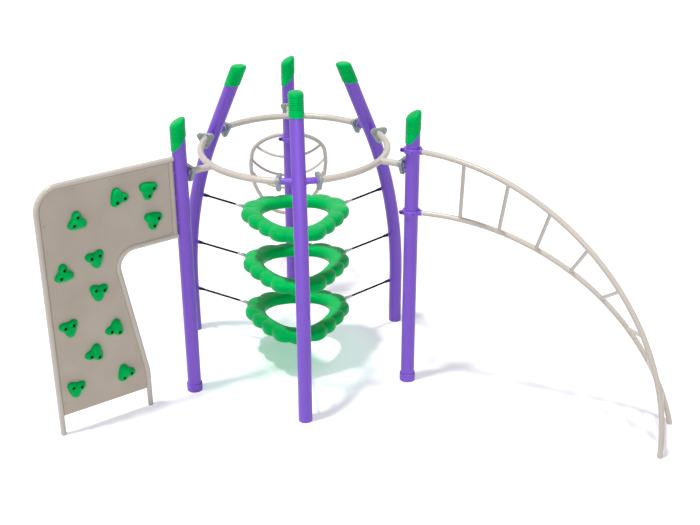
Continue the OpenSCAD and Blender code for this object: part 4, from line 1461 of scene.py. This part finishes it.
    def tabs(self) -> None:
        """Builds the tabs behind the sheet and the screws through them."""
        front, back = self.sheet_t / 2, -self.sheet_t / 2 - self.tab_t
        outline = rounded(oblong(self.tab_low, self.tab_high), self.tab_r, 5)
        plate = Draft().slab(outline, self.tab_t, 0.0006, move(z=back))
        self.shop.set_of(plate.close("tab"), self.tab_places(), "sheet_tab_plates", SAND,
                         nodes=["sheet_tabs"])
        screw = Draft().lathes(((self.screw_head, front, 28, False), (self.screw_nut, back, 6, False),
                                (self.screw_end, back, 16, False)))
        self.shop.set_of(screw.close("screw"), self.tab_places(), "sheet_bolt_set", PAINTED_BOLT,
                         nodes=["sheet_bolts"])

    def hold(self, waist: float) -> Mesh:
        """Makes a three-lobed hold with two bolt pockets, lying on z = 0.

        Args:
            waist: direction of the waist that is filled.

        Returns:
            The hold's mesh.
        """
        rings, rim, top = 14, 0.97, 0.985
        middle = self.hold_pitch / 2 / tan(60)
        rows = [self._hold_row(share, middle, waist) for share in (*(k / rings for k in range(rings)), top)]
        base = [(rim * x, rim * y + (1 - rim) * middle, 0.0) for x, y, _ in rows[0]]
        pockets = Draft()
        for x in (-self.hold_pitch / 2, self.hold_pitch / 2):
            pockets.lathes(((self.pocket, self.seat, 32, False),
                            (self.bolt_hole, self.seat, 20, False)), move(x))
        return self.shop.cut(Draft().loft([base, *rows]), pockets)

    def _hold_row(self, share: float, middle: float, waist: float) -> list[Point]:
        """Draws one ring of a hold's crowned skin.

        Args:
            share: 0 at the hold's rim and 1 on its crown.
            middle: distance of the hold's middle from the line of its bolts.
            waist: direction of the waist that is filled.

        Returns:
            The ring's points.
        """
        sides, swell, steep, dome = 72, 1.01, 0.55, 0.9
        # the crown's height, how far it falls to the rim, and less so at the back and on the lobes
        full, fall, back, tip = 0.98, 0.12, 0.08, 0.06
        reach = cos(90 * share) ** steep * swell
        lift = sin(90 * share) ** dome
        row = []
        for a in (math.tau * i / sides for i in range(sides)):
            lobe = math.cos(3 * (a - math.pi / 2))
            off = math.remainder(a - math.radians(waist), math.tau)
            body = self.hold_fill * math.exp(-(off / self.fill_width) ** 2)
            radius = self.hold_r * (1 + self.hold_lobe * lobe + body) * reach
            crown = self.hold_h * (full - reach * (fall - back * math.sin(a) - tip * lobe))
            row.append((radius * math.cos(a), middle + radius * math.sin(a), crown * lift))
        return row

    def holds(self) -> None:
        """Builds the holds and their bolts."""
        spots = [(self.post_s + s, self.top_z - z, way) for s, z, way in self.arm_holds]
        spots += [(self.out_s - s, self.low_z + z, way) for s, z, way in self.leg_holds]
        places = [self.place @ move(s, self.sheet_t / 2, z) @ turn(180) @ turn(90, "X") @ turn(180 - way)
                  for s, z, way in spots]
        draft = Draft()
        for waist, left in ((self.right_waist, False), (self.left_waist, True)):
            same = [place for i, place in enumerate(places) if (i in self.left_holds) == left]
            draft.take(self.shop.copies(self.hold(waist), same, GREEN))
        self.shop.piece(draft, "climbing_hold_set", GREEN, nodes=["climbing_holds"], sharp=38)
        bolt = Draft()
        for x in (-self.hold_pitch / 2, self.hold_pitch / 2):
            # each bolt brings a black cup that lines its pocket as painted shade
            bolt.lathes(((self.bolt_head, self.seat, 28, False), (self.bolt_cup, self.seat, 28, True),
                         (self.bolt_nut, -self.sheet_t, 6, False),
                         (self.bolt_end, -self.sheet_t, 16, False)), move(x))
        self.shop.set_of(bolt.close("hold_bolt"), places, "hold_bolt_set", BLACK_OXIDE_AND_SHADE, nodes=["hold_bolts"])


# Ladder and looped climber

@dataclass
class ArchedLadder(Assembly):
    """The ladder that curves from the right post down to the ground."""

    rail_r: float = 0.02415
    rung_r: float = 0.01685
    bead: float = 0.0024
    # a rail's end at its collar, from the post's axis, and its straight run before the curve
    start: float = 0.0855
    run: float = 0.095
    # height, radius of the curve, and direction
    upper: Point = (2.341, 2.309, -6.5)
    lower: Point = (1.753, 2.368, 6.5)
    # angle of the first rung along each curve, and from rung to rung
    upper_rungs: Flat = (8.0, 10.8)
    lower_rungs: Flat = (6.5, 8.7)
    rungs: int = 8
    # how far a rung's end stands inside its rail's skin
    sunk: float = 0.006

    def point(self, rail: Point, angle: float) -> Vector:
        """Finds a point on a rail's centre line.

        Args:
            rail: the rail's height, radius and direction.
            angle: angle along its curve.

        Returns:
            The point.
        """
        height, radius, way = rail
        run = self.start + self.run + radius * sin(angle)
        return Vector((run * cos(way), run * sin(way), height - radius * (1 - cos(angle))))

    def last(self, rail: Point) -> float:
        """Returns the angle at which a rail's end face reaches the ground."""
        steep = math.acos(1 - rail[0] / rail[1])
        return math.degrees(math.acos(1 - (rail[0] - self.rail_r * math.cos(steep)) / rail[1]))

    def build(self) -> None:
        """Builds the rails and the rungs with their weld beads."""
        place = turn(Straight.RIGHT.value) @ move(self.layout.straight_foot_r)
        for name, rail in (("upper", self.upper), ("lower", self.lower)):
            line = [Vector((self.start * cos(rail[2]), self.start * sin(rail[2]), rail[0]))]
            line += [self.point(rail, angle) for angle in evenly(0, self.last(rail), 61)]
            draft = Draft().take(self.shop.tube(line, self.rail_r, SAND), place)
            self.shop.piece(draft, f"ladder_{name}_rail", SAND, nodes=[f"ladder_rail_{name}"])
        bead = self.shop.weld(self.rail_r, self.rung_r, self.bead, SAND, ROD_SIDES)
        draft = Draft()
        places = []
        for k in range(self.rungs):
            high, low = (first + k * step for first, step in (self.upper_rungs, self.lower_rungs))
            top, foot = self.point(self.upper, high), self.point(self.lower, low)
            inward = (foot - top).normalized() * (self.rail_r - self.sunk)
            rung = self.shop.tube((top + inward, foot - inward), self.rung_r, SAND, ROD_SIDES)
            draft.take(rung, place)
            for rail, angle, here, there in ((self.upper, high, top, foot), (self.lower, low, foot, top)):
                along = (self.point(rail, angle + 1) - here).normalized()
                places.append(place @ aim(here, there, along))
        draft.take(self.shop.copies(bead, places, SAND))
        self.shop.piece(draft, "ladder_rung_set", SAND, nodes=["ladder_rungs"])


@dataclass
class LoopedClimber(Assembly):
    """The sloping loop with bowed rungs behind the back post.

    Its own plane has x, the distance down its slope, and y across it.
    """

    tube_r: float = 0.0211
    rung_r: float = 0.01335
    bead: float = 0.0022
    top_s: float = 0.130
    top_z: float = 1.845
    length: float = 1.600
    slope: float = 36.0
    up_r: float = 0.385
    side_r: float = 1.900
    low_r: float = 0.202
    rung_x: float = 0.205
    rung_step: float = 0.242
    rungs: int = 3
    bow_r: float = 0.465
    # a bowed rung stops this angle short of the loop's centre line
    bow_short: float = 1.5
    leg_short: float = 0.012

    def __post_init__(self) -> None:
        """Works out where the side arcs meet the round ends."""
        self.low_x = self.length - self.low_r
        gap, near, far = self.low_x - self.up_r, self.side_r - self.up_r, self.side_r - self.low_r
        self.up_a = math.degrees(math.acos((gap ** 2 + near ** 2 - far ** 2) / (2 * gap * near)))
        self.low_a = math.degrees(math.acos((gap ** 2 + far ** 2 - near ** 2) / (2 * gap * far)))
        self.side_x = self.up_r + near * cos(self.up_a)
        self.side_y = near * sin(self.up_a)

    def half(self, x: float) -> float:
        """Finds half the loop's width.

        Args:
            x: distance down its slope.

        Returns:
            Half the width between the centre lines there.
        """
        if x < self.up_r * (1 - cos(self.up_a)):
            return math.sqrt(self.up_r ** 2 - (x - self.up_r) ** 2)
        if x < self.low_x + self.low_r * cos(self.low_a):
            return math.sqrt(self.side_r ** 2 - (x - self.side_x) ** 2) - self.side_y
        return math.sqrt(self.low_r ** 2 - (x - self.low_x) ** 2)

    def outline(self) -> list[Flat]:
        """Draws the loop's centre line: two round ends and the side arcs between them.

        Returns:
            The line's points.
        """
        up, low = self.up_a, self.low_a
        runs = (((self.up_r, 0), self.up_r, 180 - up, 180 + up, 60),
                ((self.side_x, self.side_y), self.side_r, 180 + up, 360 - low, 40),
                ((self.low_x, 0), self.low_r, -low, low, 48),
                ((self.side_x, -self.side_y), self.side_r, low, 180 - up, 40))
        return [point for run in runs for point in arc(*run)[:-1]]

    def build(self) -> None:
        """Builds the loop, the bowed rungs and the leg."""
        post = turn(Straight.BACK.value) @ move(self.layout.straight_foot_r)
        place = post @ move(self.top_s, 0, self.top_z) @ turn(90 - self.slope, "Y")
        loop = self.shop.tube([(x, y, 0) for x, y in self.outline()], self.tube_r, SAND, hoop=True)
        self.shop.piece(Draft().take(loop, place), "climber_loop", SAND, nodes=["loop_rail"])
        self.bowed_rungs(place)
        foot = self.top_s + self.length * sin(self.slope)
        top = self.top_z - self.length * cos(self.slope) - self.leg_short
        leg = self.shop.tube(((foot, 0, 0), (foot, 0, top)), self.tube_r, SAND)
        self.shop.piece(Draft().take(leg, post), "climber_foot_leg", SAND, nodes=["loop_leg"])

    def bowed_rungs(self, place: Matrix) -> None:
        """Builds the rungs that sag between the loop's sides, with their weld beads.

        Args:
            place: the loop's place.
        """
        draft = Draft()
        places = []
        for x in (self.rung_x + k * self.rung_step for k in range(self.rungs)):
            half = self.half(x)
            rise = math.sqrt(self.bow_r ** 2 - half ** 2)
            reach = math.degrees(math.asin(half / self.bow_r)) - self.bow_short
            bow = [(x, y, z) for y, z in arc((0, rise), self.bow_r, -90 - reach, -90 + reach, 60)]
            draft.take(self.shop.tube(bow, self.rung_r, SAND, ROD_SIDES), place)
            for side in (-1, 1):
                near = side * half * 0.9
                there = Vector((x, near, rise - math.sqrt(self.bow_r ** 2 - near ** 2)))
                places.append(place @ aim(Vector((x, side * half, 0)), there, Vector((1, 0, 0))))
        bead = self.shop.weld(self.tube_r, self.rung_r, self.bead, SAND, ROD_SIDES)
        draft.take(self.shop.copies(bead, places, SAND))
        self.shop.piece(draft, "climber_bowed_rungs", SAND, nodes=["loop_rungs_bowed"])


@dataclass
class Carried(Assembly):
    """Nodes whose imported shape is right: a merged, smooth copy with a finish stands for each."""

    packed: dict[str, bpy.types.Object]

    def build(self) -> None:
        """Builds the copies."""
        # the collar bolts take the near-black painted shade
        for name, node, finish in (("clamp_collar_set", "clamp_collars", VIOLET),
                                   ("collar_bolt_set", "collar_bolts", SHADE_PAINTED_SCREW)):
            source = self.packed[node]
            copied = source.data.copy()
            copied.transform(source.matrix_world)
            self.shop.piece(Draft().take(copied), name, finish, nodes=[node], sharp=25)


# Hanging rings

@dataclass
class HangingRing(Assembly):
    """A moulded ring that hangs between the bent posts on three taut ropes."""

    level: Level
    out_r: float = 0.488
    in_r: float = 0.312
    out_lobe: float = 0.054
    in_lobe: float = 0.022
    thickness: float = 0.110
    # the section's power: 1 is an ellipse and 0 an oblong
    fullness: float = 0.6
    scallop: float = 0.026
    scallops: int = 15
    # how high on a scallop the lobed outline runs
    crest_middle: float = 0.6
    # how much of the thickness a cleft between two scallops takes away
    cleft_depth: float = 0.12
    eye_r: float = 0.580
    eye_t: float = 0.008
    eye_round: float = 0.019
    eye_hole: float = 0.010
    eye_sunk: float = 0.010
    pin_r: float = 0.006
    pin_end: float = 0.0028
    # an ear's hole is this much smaller than its pin, so that it closes round it
    pin_fit: float = 0.0005
    side_gap: float = 0.00025
    fork_t: float = 0.006
    fork_edge: float = 0.0014
    fork_neck: float = 0.010
    # radius of the shackle's ears, and of the smaller fork in its boot at the post
    nose: float = 0.013
    boot_r: float = 0.0108
    # from the pin to a fork's bridge, and the bridge's length
    neck: float = 0.025
    bridge: float = 0.008
    # how far a ferrule or a boot's neck stands inside the bridge
    sunk: float = 0.002
    # from the bridge to the rope's end in the boot, and length of rope in the ferrule
    boot_gap: float = 0.010
    ferrule_hold: float = 0.012
    lug_t: float = 0.010
    ferrule_r: float = 0.013
    ferrule_l: float = 0.038
    rope_r: float = 0.0102
    strands: int = 6
    # radius of a strand and of the core, as shares of the rope's
    strand_share: float = 0.38
    core_share: float = 0.92
    # length of one turn of the strands
    lay: float = 0.085

    def __post_init__(self) -> None:
        """Works out where a fork's bridge ends, and the ring's names."""
        self.back = self.neck + self.bridge
        self.word = self.level.word
        self.body = f"{self.word}_ring"

    def build(self) -> None:
        """Builds the ring, its eye plates and its ropes."""
        self.ring()
        self.eyes()
        for post in Bent:
            self.line(post)

    def crest(self, angle: float) -> float:
        """Finds how high on a scallop a place lies.

        Args:
            angle: direction of the place, in radians.

        Returns:
            1 on a scallop's crest and 0 in the cleft between two.
        """
        # the first number rounds the cleft's bottom, and the others bring the range back to 0 and 1
        soft, least, reach = 0.004, 0.063, 0.94
        wave = math.cos(self.scallops / 2 * (angle - math.radians(Bent.RIGHT.value)))
        return (math.sqrt(wave * wave + soft) - least) / reach

    def rims(self, angle: float) -> Flat:
        """Finds the ring's outline.

        Args:
            angle: direction of the place, in radians.

        Returns:
            The inner and the outer radius there.
        """
        lobe = math.cos(3 * (angle - math.radians(Bent.RIGHT.value)))
        return (self.in_r + self.in_lobe * lobe,
                self.out_r + self.out_lobe * lobe + self.scallop * (self.crest(angle) - self.crest_middle))

    def ring(self) -> None:
        """Builds the ring: a rounded section along a lobed line, with clefts up its flank."""
        # a cleft reaches beyond the section's middle by this share of its half width
        around, section, past = 360, 32, 0.6
        rows = []
        for angle in (math.tau * i / around for i in range(around)):
            low, high = self.rims(angle)
            cleft = self.cleft_depth * (1 - self.crest(angle)) ** 2
            row = []
            for b in (math.tau * (k + 0.5) / section for k in range(section)):
                across, up = (math.copysign(abs(v) ** self.fullness, v) for v in (math.cos(b), math.sin(b)))
                radius = (low + high) / 2 + (high - low) / 2 * across
                half = self.thickness / 2 * (1 - cleft * max(0.0, across + past) / (1 + past))
                row.append((radius * math.cos(angle), radius * math.sin(angle), half * up))
            rows.append(row)
        draft = Draft().loft(rows, move(z=self.level.value), hoop=True)
        self.shop.piece(draft, f"{self.word}_moulded_ring", GREEN, self.body,
                        [f"hanging_ring_{self.word}"], sharp=60)

    def eyes(self) -> None:
        """Builds the eye plates that stand out of the ring's corners."""
        root = self.out_r + self.out_lobe - self.crest_middle * self.scallop - self.eye_sunk - self.eye_r
        outline = [*arc((0, 0), self.eye_round, -90, 90, 20), (root, self.eye_round), (root, 0.0),
                   (root, -self.eye_round)]
        plate = Draft().ring_plate(outline, self.eye_hole, self.eye_t, 0.001)
        upright = move(self.eye_r, self.eye_t / 2, self.level.value)
        places = [turn(p.value) @ upright @ turn(90, "X") for p in Bent]
        self.shop.set_of(plate.close("eye"), places, f"{self.word}_eye_plates", ZINC, body=self.body,
                         nodes=[f"eye_plates_{self.word}"])

    def fork(self, grip: float, nose: float) -> Draft:
        """Makes a fork with its pin at the origin and its bridge along +X.

        Args:
            grip: thickness of the plate between its ears.
            nose: radius of the ears round the pin.

        Returns:
            The fork's draft.
        """
        draft = Draft()
        inside = grip / 2 + self.side_gap
        ear = tongue(nose, self.fork_neck, self.back, 16)
        for y in (-inside, inside + self.fork_t):
            draft.ring_plate(ear, self.pin_r - self.pin_fit, self.fork_t, self.fork_edge,
                             move(y=y) @ turn(90, "X"))
        corner_r, edge, half = 0.002, 0.0005, inside + 0.003
        block = rounded(oblong((self.neck + corner_r, -half), (self.back - corner_r, half)), corner_r, 3)
        draft.slab(block, 2 * (nose - edge), 2 * edge, move(z=edge - nose))
        end = inside + self.fork_t + self.pin_end
        return draft.lathe(eased(self.pin_r, -end, end, 0.0006, 0.7), turn(90, "X"), 24)

    def ferrule(self, draft: Draft) -> None:
        """Adds the pressed sleeve behind a fork's bridge, with two crimped waists.

        Args:
            draft: the fork's draft.
        """
        r, length = self.ferrule_r, self.ferrule_l
        profile = [(r * 0.86, 0.0), (r, 0.003)]
        for z in (length * 0.3, length * 0.65):
            profile += [(r, z - 0.004), (r * 0.93, z - 0.0015), (r * 0.93, z + 0.0015), (r, z + 0.004)]
        profile += [(r, length - 0.006), (r * 0.84, length - 0.001), (self.rope_r + 0.0004, length)]
        draft.lathes([(profile, self.back - self.sunk, 32, False)], turn(90, "Y"))

    def collar(self, draft: Draft) -> None:
        """Adds the boot's ribbed neck behind a fork's bridge.

        Args:
            draft: the fork's draft.
        """
        r = self.boot_r
        profile = ((r * 0.9, 0.0), (r, 0.002), (r, 0.010), (r * 1.04, 0.0125), (r * 1.04, 0.014),
                   (r, 0.0165), (r, 0.018), (self.rope_r + 0.0002, 0.020))
        draft.lathes([(profile, self.back - self.sunk, 32, False)], turn(90, "Y"))

    def line(self, post: Bent) -> None:
        """Builds a rope with the fork at its post and the shackle at the ring.

        Args:
            post: the bent post that it goes to.
        """
        radius, z = self.layout.pin(self.level)
        rise = z - self.level.value
        span = math.hypot(radius - self.eye_r, rise)
        tilt = math.degrees(math.atan2(rise, radius - self.eye_r))
        place = turn(post.value) @ move(radius, 0, z) @ turn(180 - tilt, "Y")
        key = f"{self.word}_{post.word}"
        body = f"line_{key}"
        start = self.back + self.boot_gap
        stop = span - (self.back + self.ferrule_l) + self.ferrule_hold
        self.rope(start, stop, place, key, body)
        boot = self.fork(self.lug_t, self.boot_r)
        self.collar(boot)
        self.shop.piece(Draft().take(boot.close("boot"), place), f"rope_{key}_boot", RUBBER, body)
        shackle = self.fork(self.eye_t, self.nose)
        self.ferrule(shackle)
        draft = Draft().take(shackle.close("shackle"), place @ move(span) @ turn(180))
        self.shop.piece(draft, f"shackle_{key}_fork", ZINC, body, [f"shackle_{key}"])

    def rope(self, start: float, stop: float, place: Matrix, key: str, body: str) -> None:
        """Builds the rope's strands round its core.

        Args:
            start: distance of its first end from the pin at the post.
            stop: distance of its other end.
            place: place of that pin, whose X runs along the rope.
            key: the words for its level and its post.
            body: the body that it rides on.
        """
        length = stop - start
        laid = self.shop.bake(raw_mesh("seed", [(0, 0, 0)]), self.shop.rope_tree, YARN, {
            "Length": length, "Turns": length / self.lay, "Strands": self.strands,
            "Strand Radius": self.rope_r * self.strand_share,
            "Lay Radius": self.rope_r * (1 - self.strand_share)})
        draft = Draft().take(laid, place @ move(start) @ turn(90, "Y"))
        core = self.rope_r * self.core_share
        draft.lathe(((core, start), (core, stop)), place @ turn(90, "Y"), 20)
        self.shop.piece(draft, f"rope_{key}_strands", YARN, body, [f"rope_{key}"], sharp=50)


# Stage

@dataclass
class Studio:
    """The camera, the lamps and the pale floor."""

    camera_at: Point = (-0.409, -10.197, 5.987)
    camera_turn: Point = (63.94, 0.0, -5.18)
    lens: float = 60.55
    # name, strength, width of the disc, and direction of the light
    suns: tuple[tuple[str, float, float, Point], ...] = (
        ("overhead", 2.5, 5.0, (0.249, 0.083, -1.0)), ("front", 0.80, 50.0, (0.10, 1.0, -0.45)))
    sky: float = 0.26
    floor_reach: float = 30.0
    floor_z: float = -0.0005
    floor_colour: str = "#E7E7E7"
    # the shadows' light: its middle and colour there, then near bound, far bound and colour further out
    lift_middle: Point = (-0.19, -0.03, 0.0)
    lift_colour: str = "#76A08E"
    lift_zones: tuple[tuple[float, float, str], ...] = ((0.25, 0.60, "#A7B8B6"), (0.85, 1.10, "#AAA8B1"))

    def build(self) -> None:
        """Builds the whole stage."""
        self.camera()
        self.lamps()
        self.world()
        self.floor()

    def camera(self) -> None:
        """Puts the camera where the photograph was taken from."""
        data = bpy.data.cameras.new("camera")
        data.lens, data.sensor_width, data.clip_end = self.lens, 36.0, 100.0
        eye = put("camera", data)
        eye.location = self.camera_at
        eye.rotation_euler = Euler([math.radians(v) for v in self.camera_turn])
        bpy.context.scene.camera = eye

    def lamps(self) -> None:
        """Adds a soft lamp overhead and a weak one from the front."""
        for name, power, angle, way in self.suns:
            data = bpy.data.lights.new(name, "SUN")
            data.energy, data.angle = power, math.radians(angle)
            put(name, data).rotation_euler = Vector(way).to_track_quat("-Z", "Y").to_euler()

    def _white_rays(self, tree: Tree) -> Socket:
        """Marks the rays that see a plain white surround: from the camera, or through gloss or glass.

        Args:
            tree: the node tree to add to.

        Returns:
            1 for those rays and 0 for the others.
        """
        path = add_node(tree, "ShaderNodeLightPath").outputs
        seen = path["Is Camera Ray"]
        for ray in ("Is Glossy Ray", "Is Transmission Ray"):
            seen = add_node(tree, "ShaderNodeMath", {0: seen, 1: path[ray]}, operation="MAXIMUM").outputs[0]
        return seen

    def world(self) -> None:
        """Lights the object evenly from all round, and shows white behind it."""
        world = bpy.data.worlds.new("studio")
        bpy.context.scene.world = world
        tree = empty_tree(world)
        soft, white = (add_node(tree, "ShaderNodeBackground", {"Color": linear(WHITE), "Strength": power})
                       for power in (self.sky, 1.0))
        both = add_node(tree, "ShaderNodeMixShader", {
            0: self._white_rays(tree), 1: soft.outputs[0], 2: white.outputs[0]})
        add_node(tree, "ShaderNodeOutputWorld", {"Surface": both.outputs[0]})

    def _lift(self, tree: Tree) -> Socket:
        """Colours the light that fills the floor's shadows: green under the rings, then cool grey.

        Args:
            tree: the floor's nodes.

        Returns:
            The light's colour.
        """
        where = add_node(tree, "ShaderNodeTexCoord").outputs["Object"]
        away = add_node(tree, "ShaderNodeVectorMath", {0: where, 1: self.lift_middle}, operation="DISTANCE")
        lift: Any = self.lift_colour
        for near, far, colour in self.lift_zones:
            lift = dye(tree, away.outputs["Value"], (near, far), (lift, colour))
        return lift

    def floor(self) -> None:
        """Adds a pale floor that looks white and still keeps the object's shadow."""
        reach = self.floor_reach
        corners = [(x, y, self.floor_z) for x, y in oblong((-reach, -reach), (reach, reach))]
        mesh = raw_mesh("floor", corners, faces=[(0, 1, 2, 3)])
        pale = bpy.data.materials.new("pale_floor")
        tree = empty_tree(pale)
        matt = add_node(tree, "ShaderNodeBsdfDiffuse", {"Color": linear(self.floor_colour)})
        lift = add_node(tree, "ShaderNodeEmission", {"Color": self._lift(tree), "Strength": 1.0})
        lifted = add_node(tree, "ShaderNodeAddShader", {0: matt.outputs[0], 1: lift.outputs[0]})
        both = add_node(tree, "ShaderNodeMixShader", {
            0: self._white_rays(tree), 1: matt.outputs[0], 2: lifted.outputs[0]})
        add_node(tree, "ShaderNodeOutputMaterial", {"Surface": both.outputs[0]})
        mesh.materials.append(pale)
        floor = put("floor", mesh)


def main(frame: dict[str, Any]) -> None:
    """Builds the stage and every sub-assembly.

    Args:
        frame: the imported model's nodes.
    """
    logging.basicConfig(level=logging.INFO, format="%(name)s %(message)s")
    bpy.context.scene.view_settings.view_transform = "Standard"
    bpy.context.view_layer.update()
    Studio().build()
    layout = Layout()
    shop = Workshop()
    for assembly in (Posts(layout, shop), TopRing(layout, shop), ClimbingWall(layout, shop),
                     ArchedLadder(layout, shop), LoopedClimber(layout, shop),
                     Carried(layout, shop, frame["nodes"]),
                     *(HangingRing(layout, shop, level) for level in Level)):
        assembly.build()
        LOG.info("built %s", type(assembly).__name__)


if __name__ == "__main__":
    main(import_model())
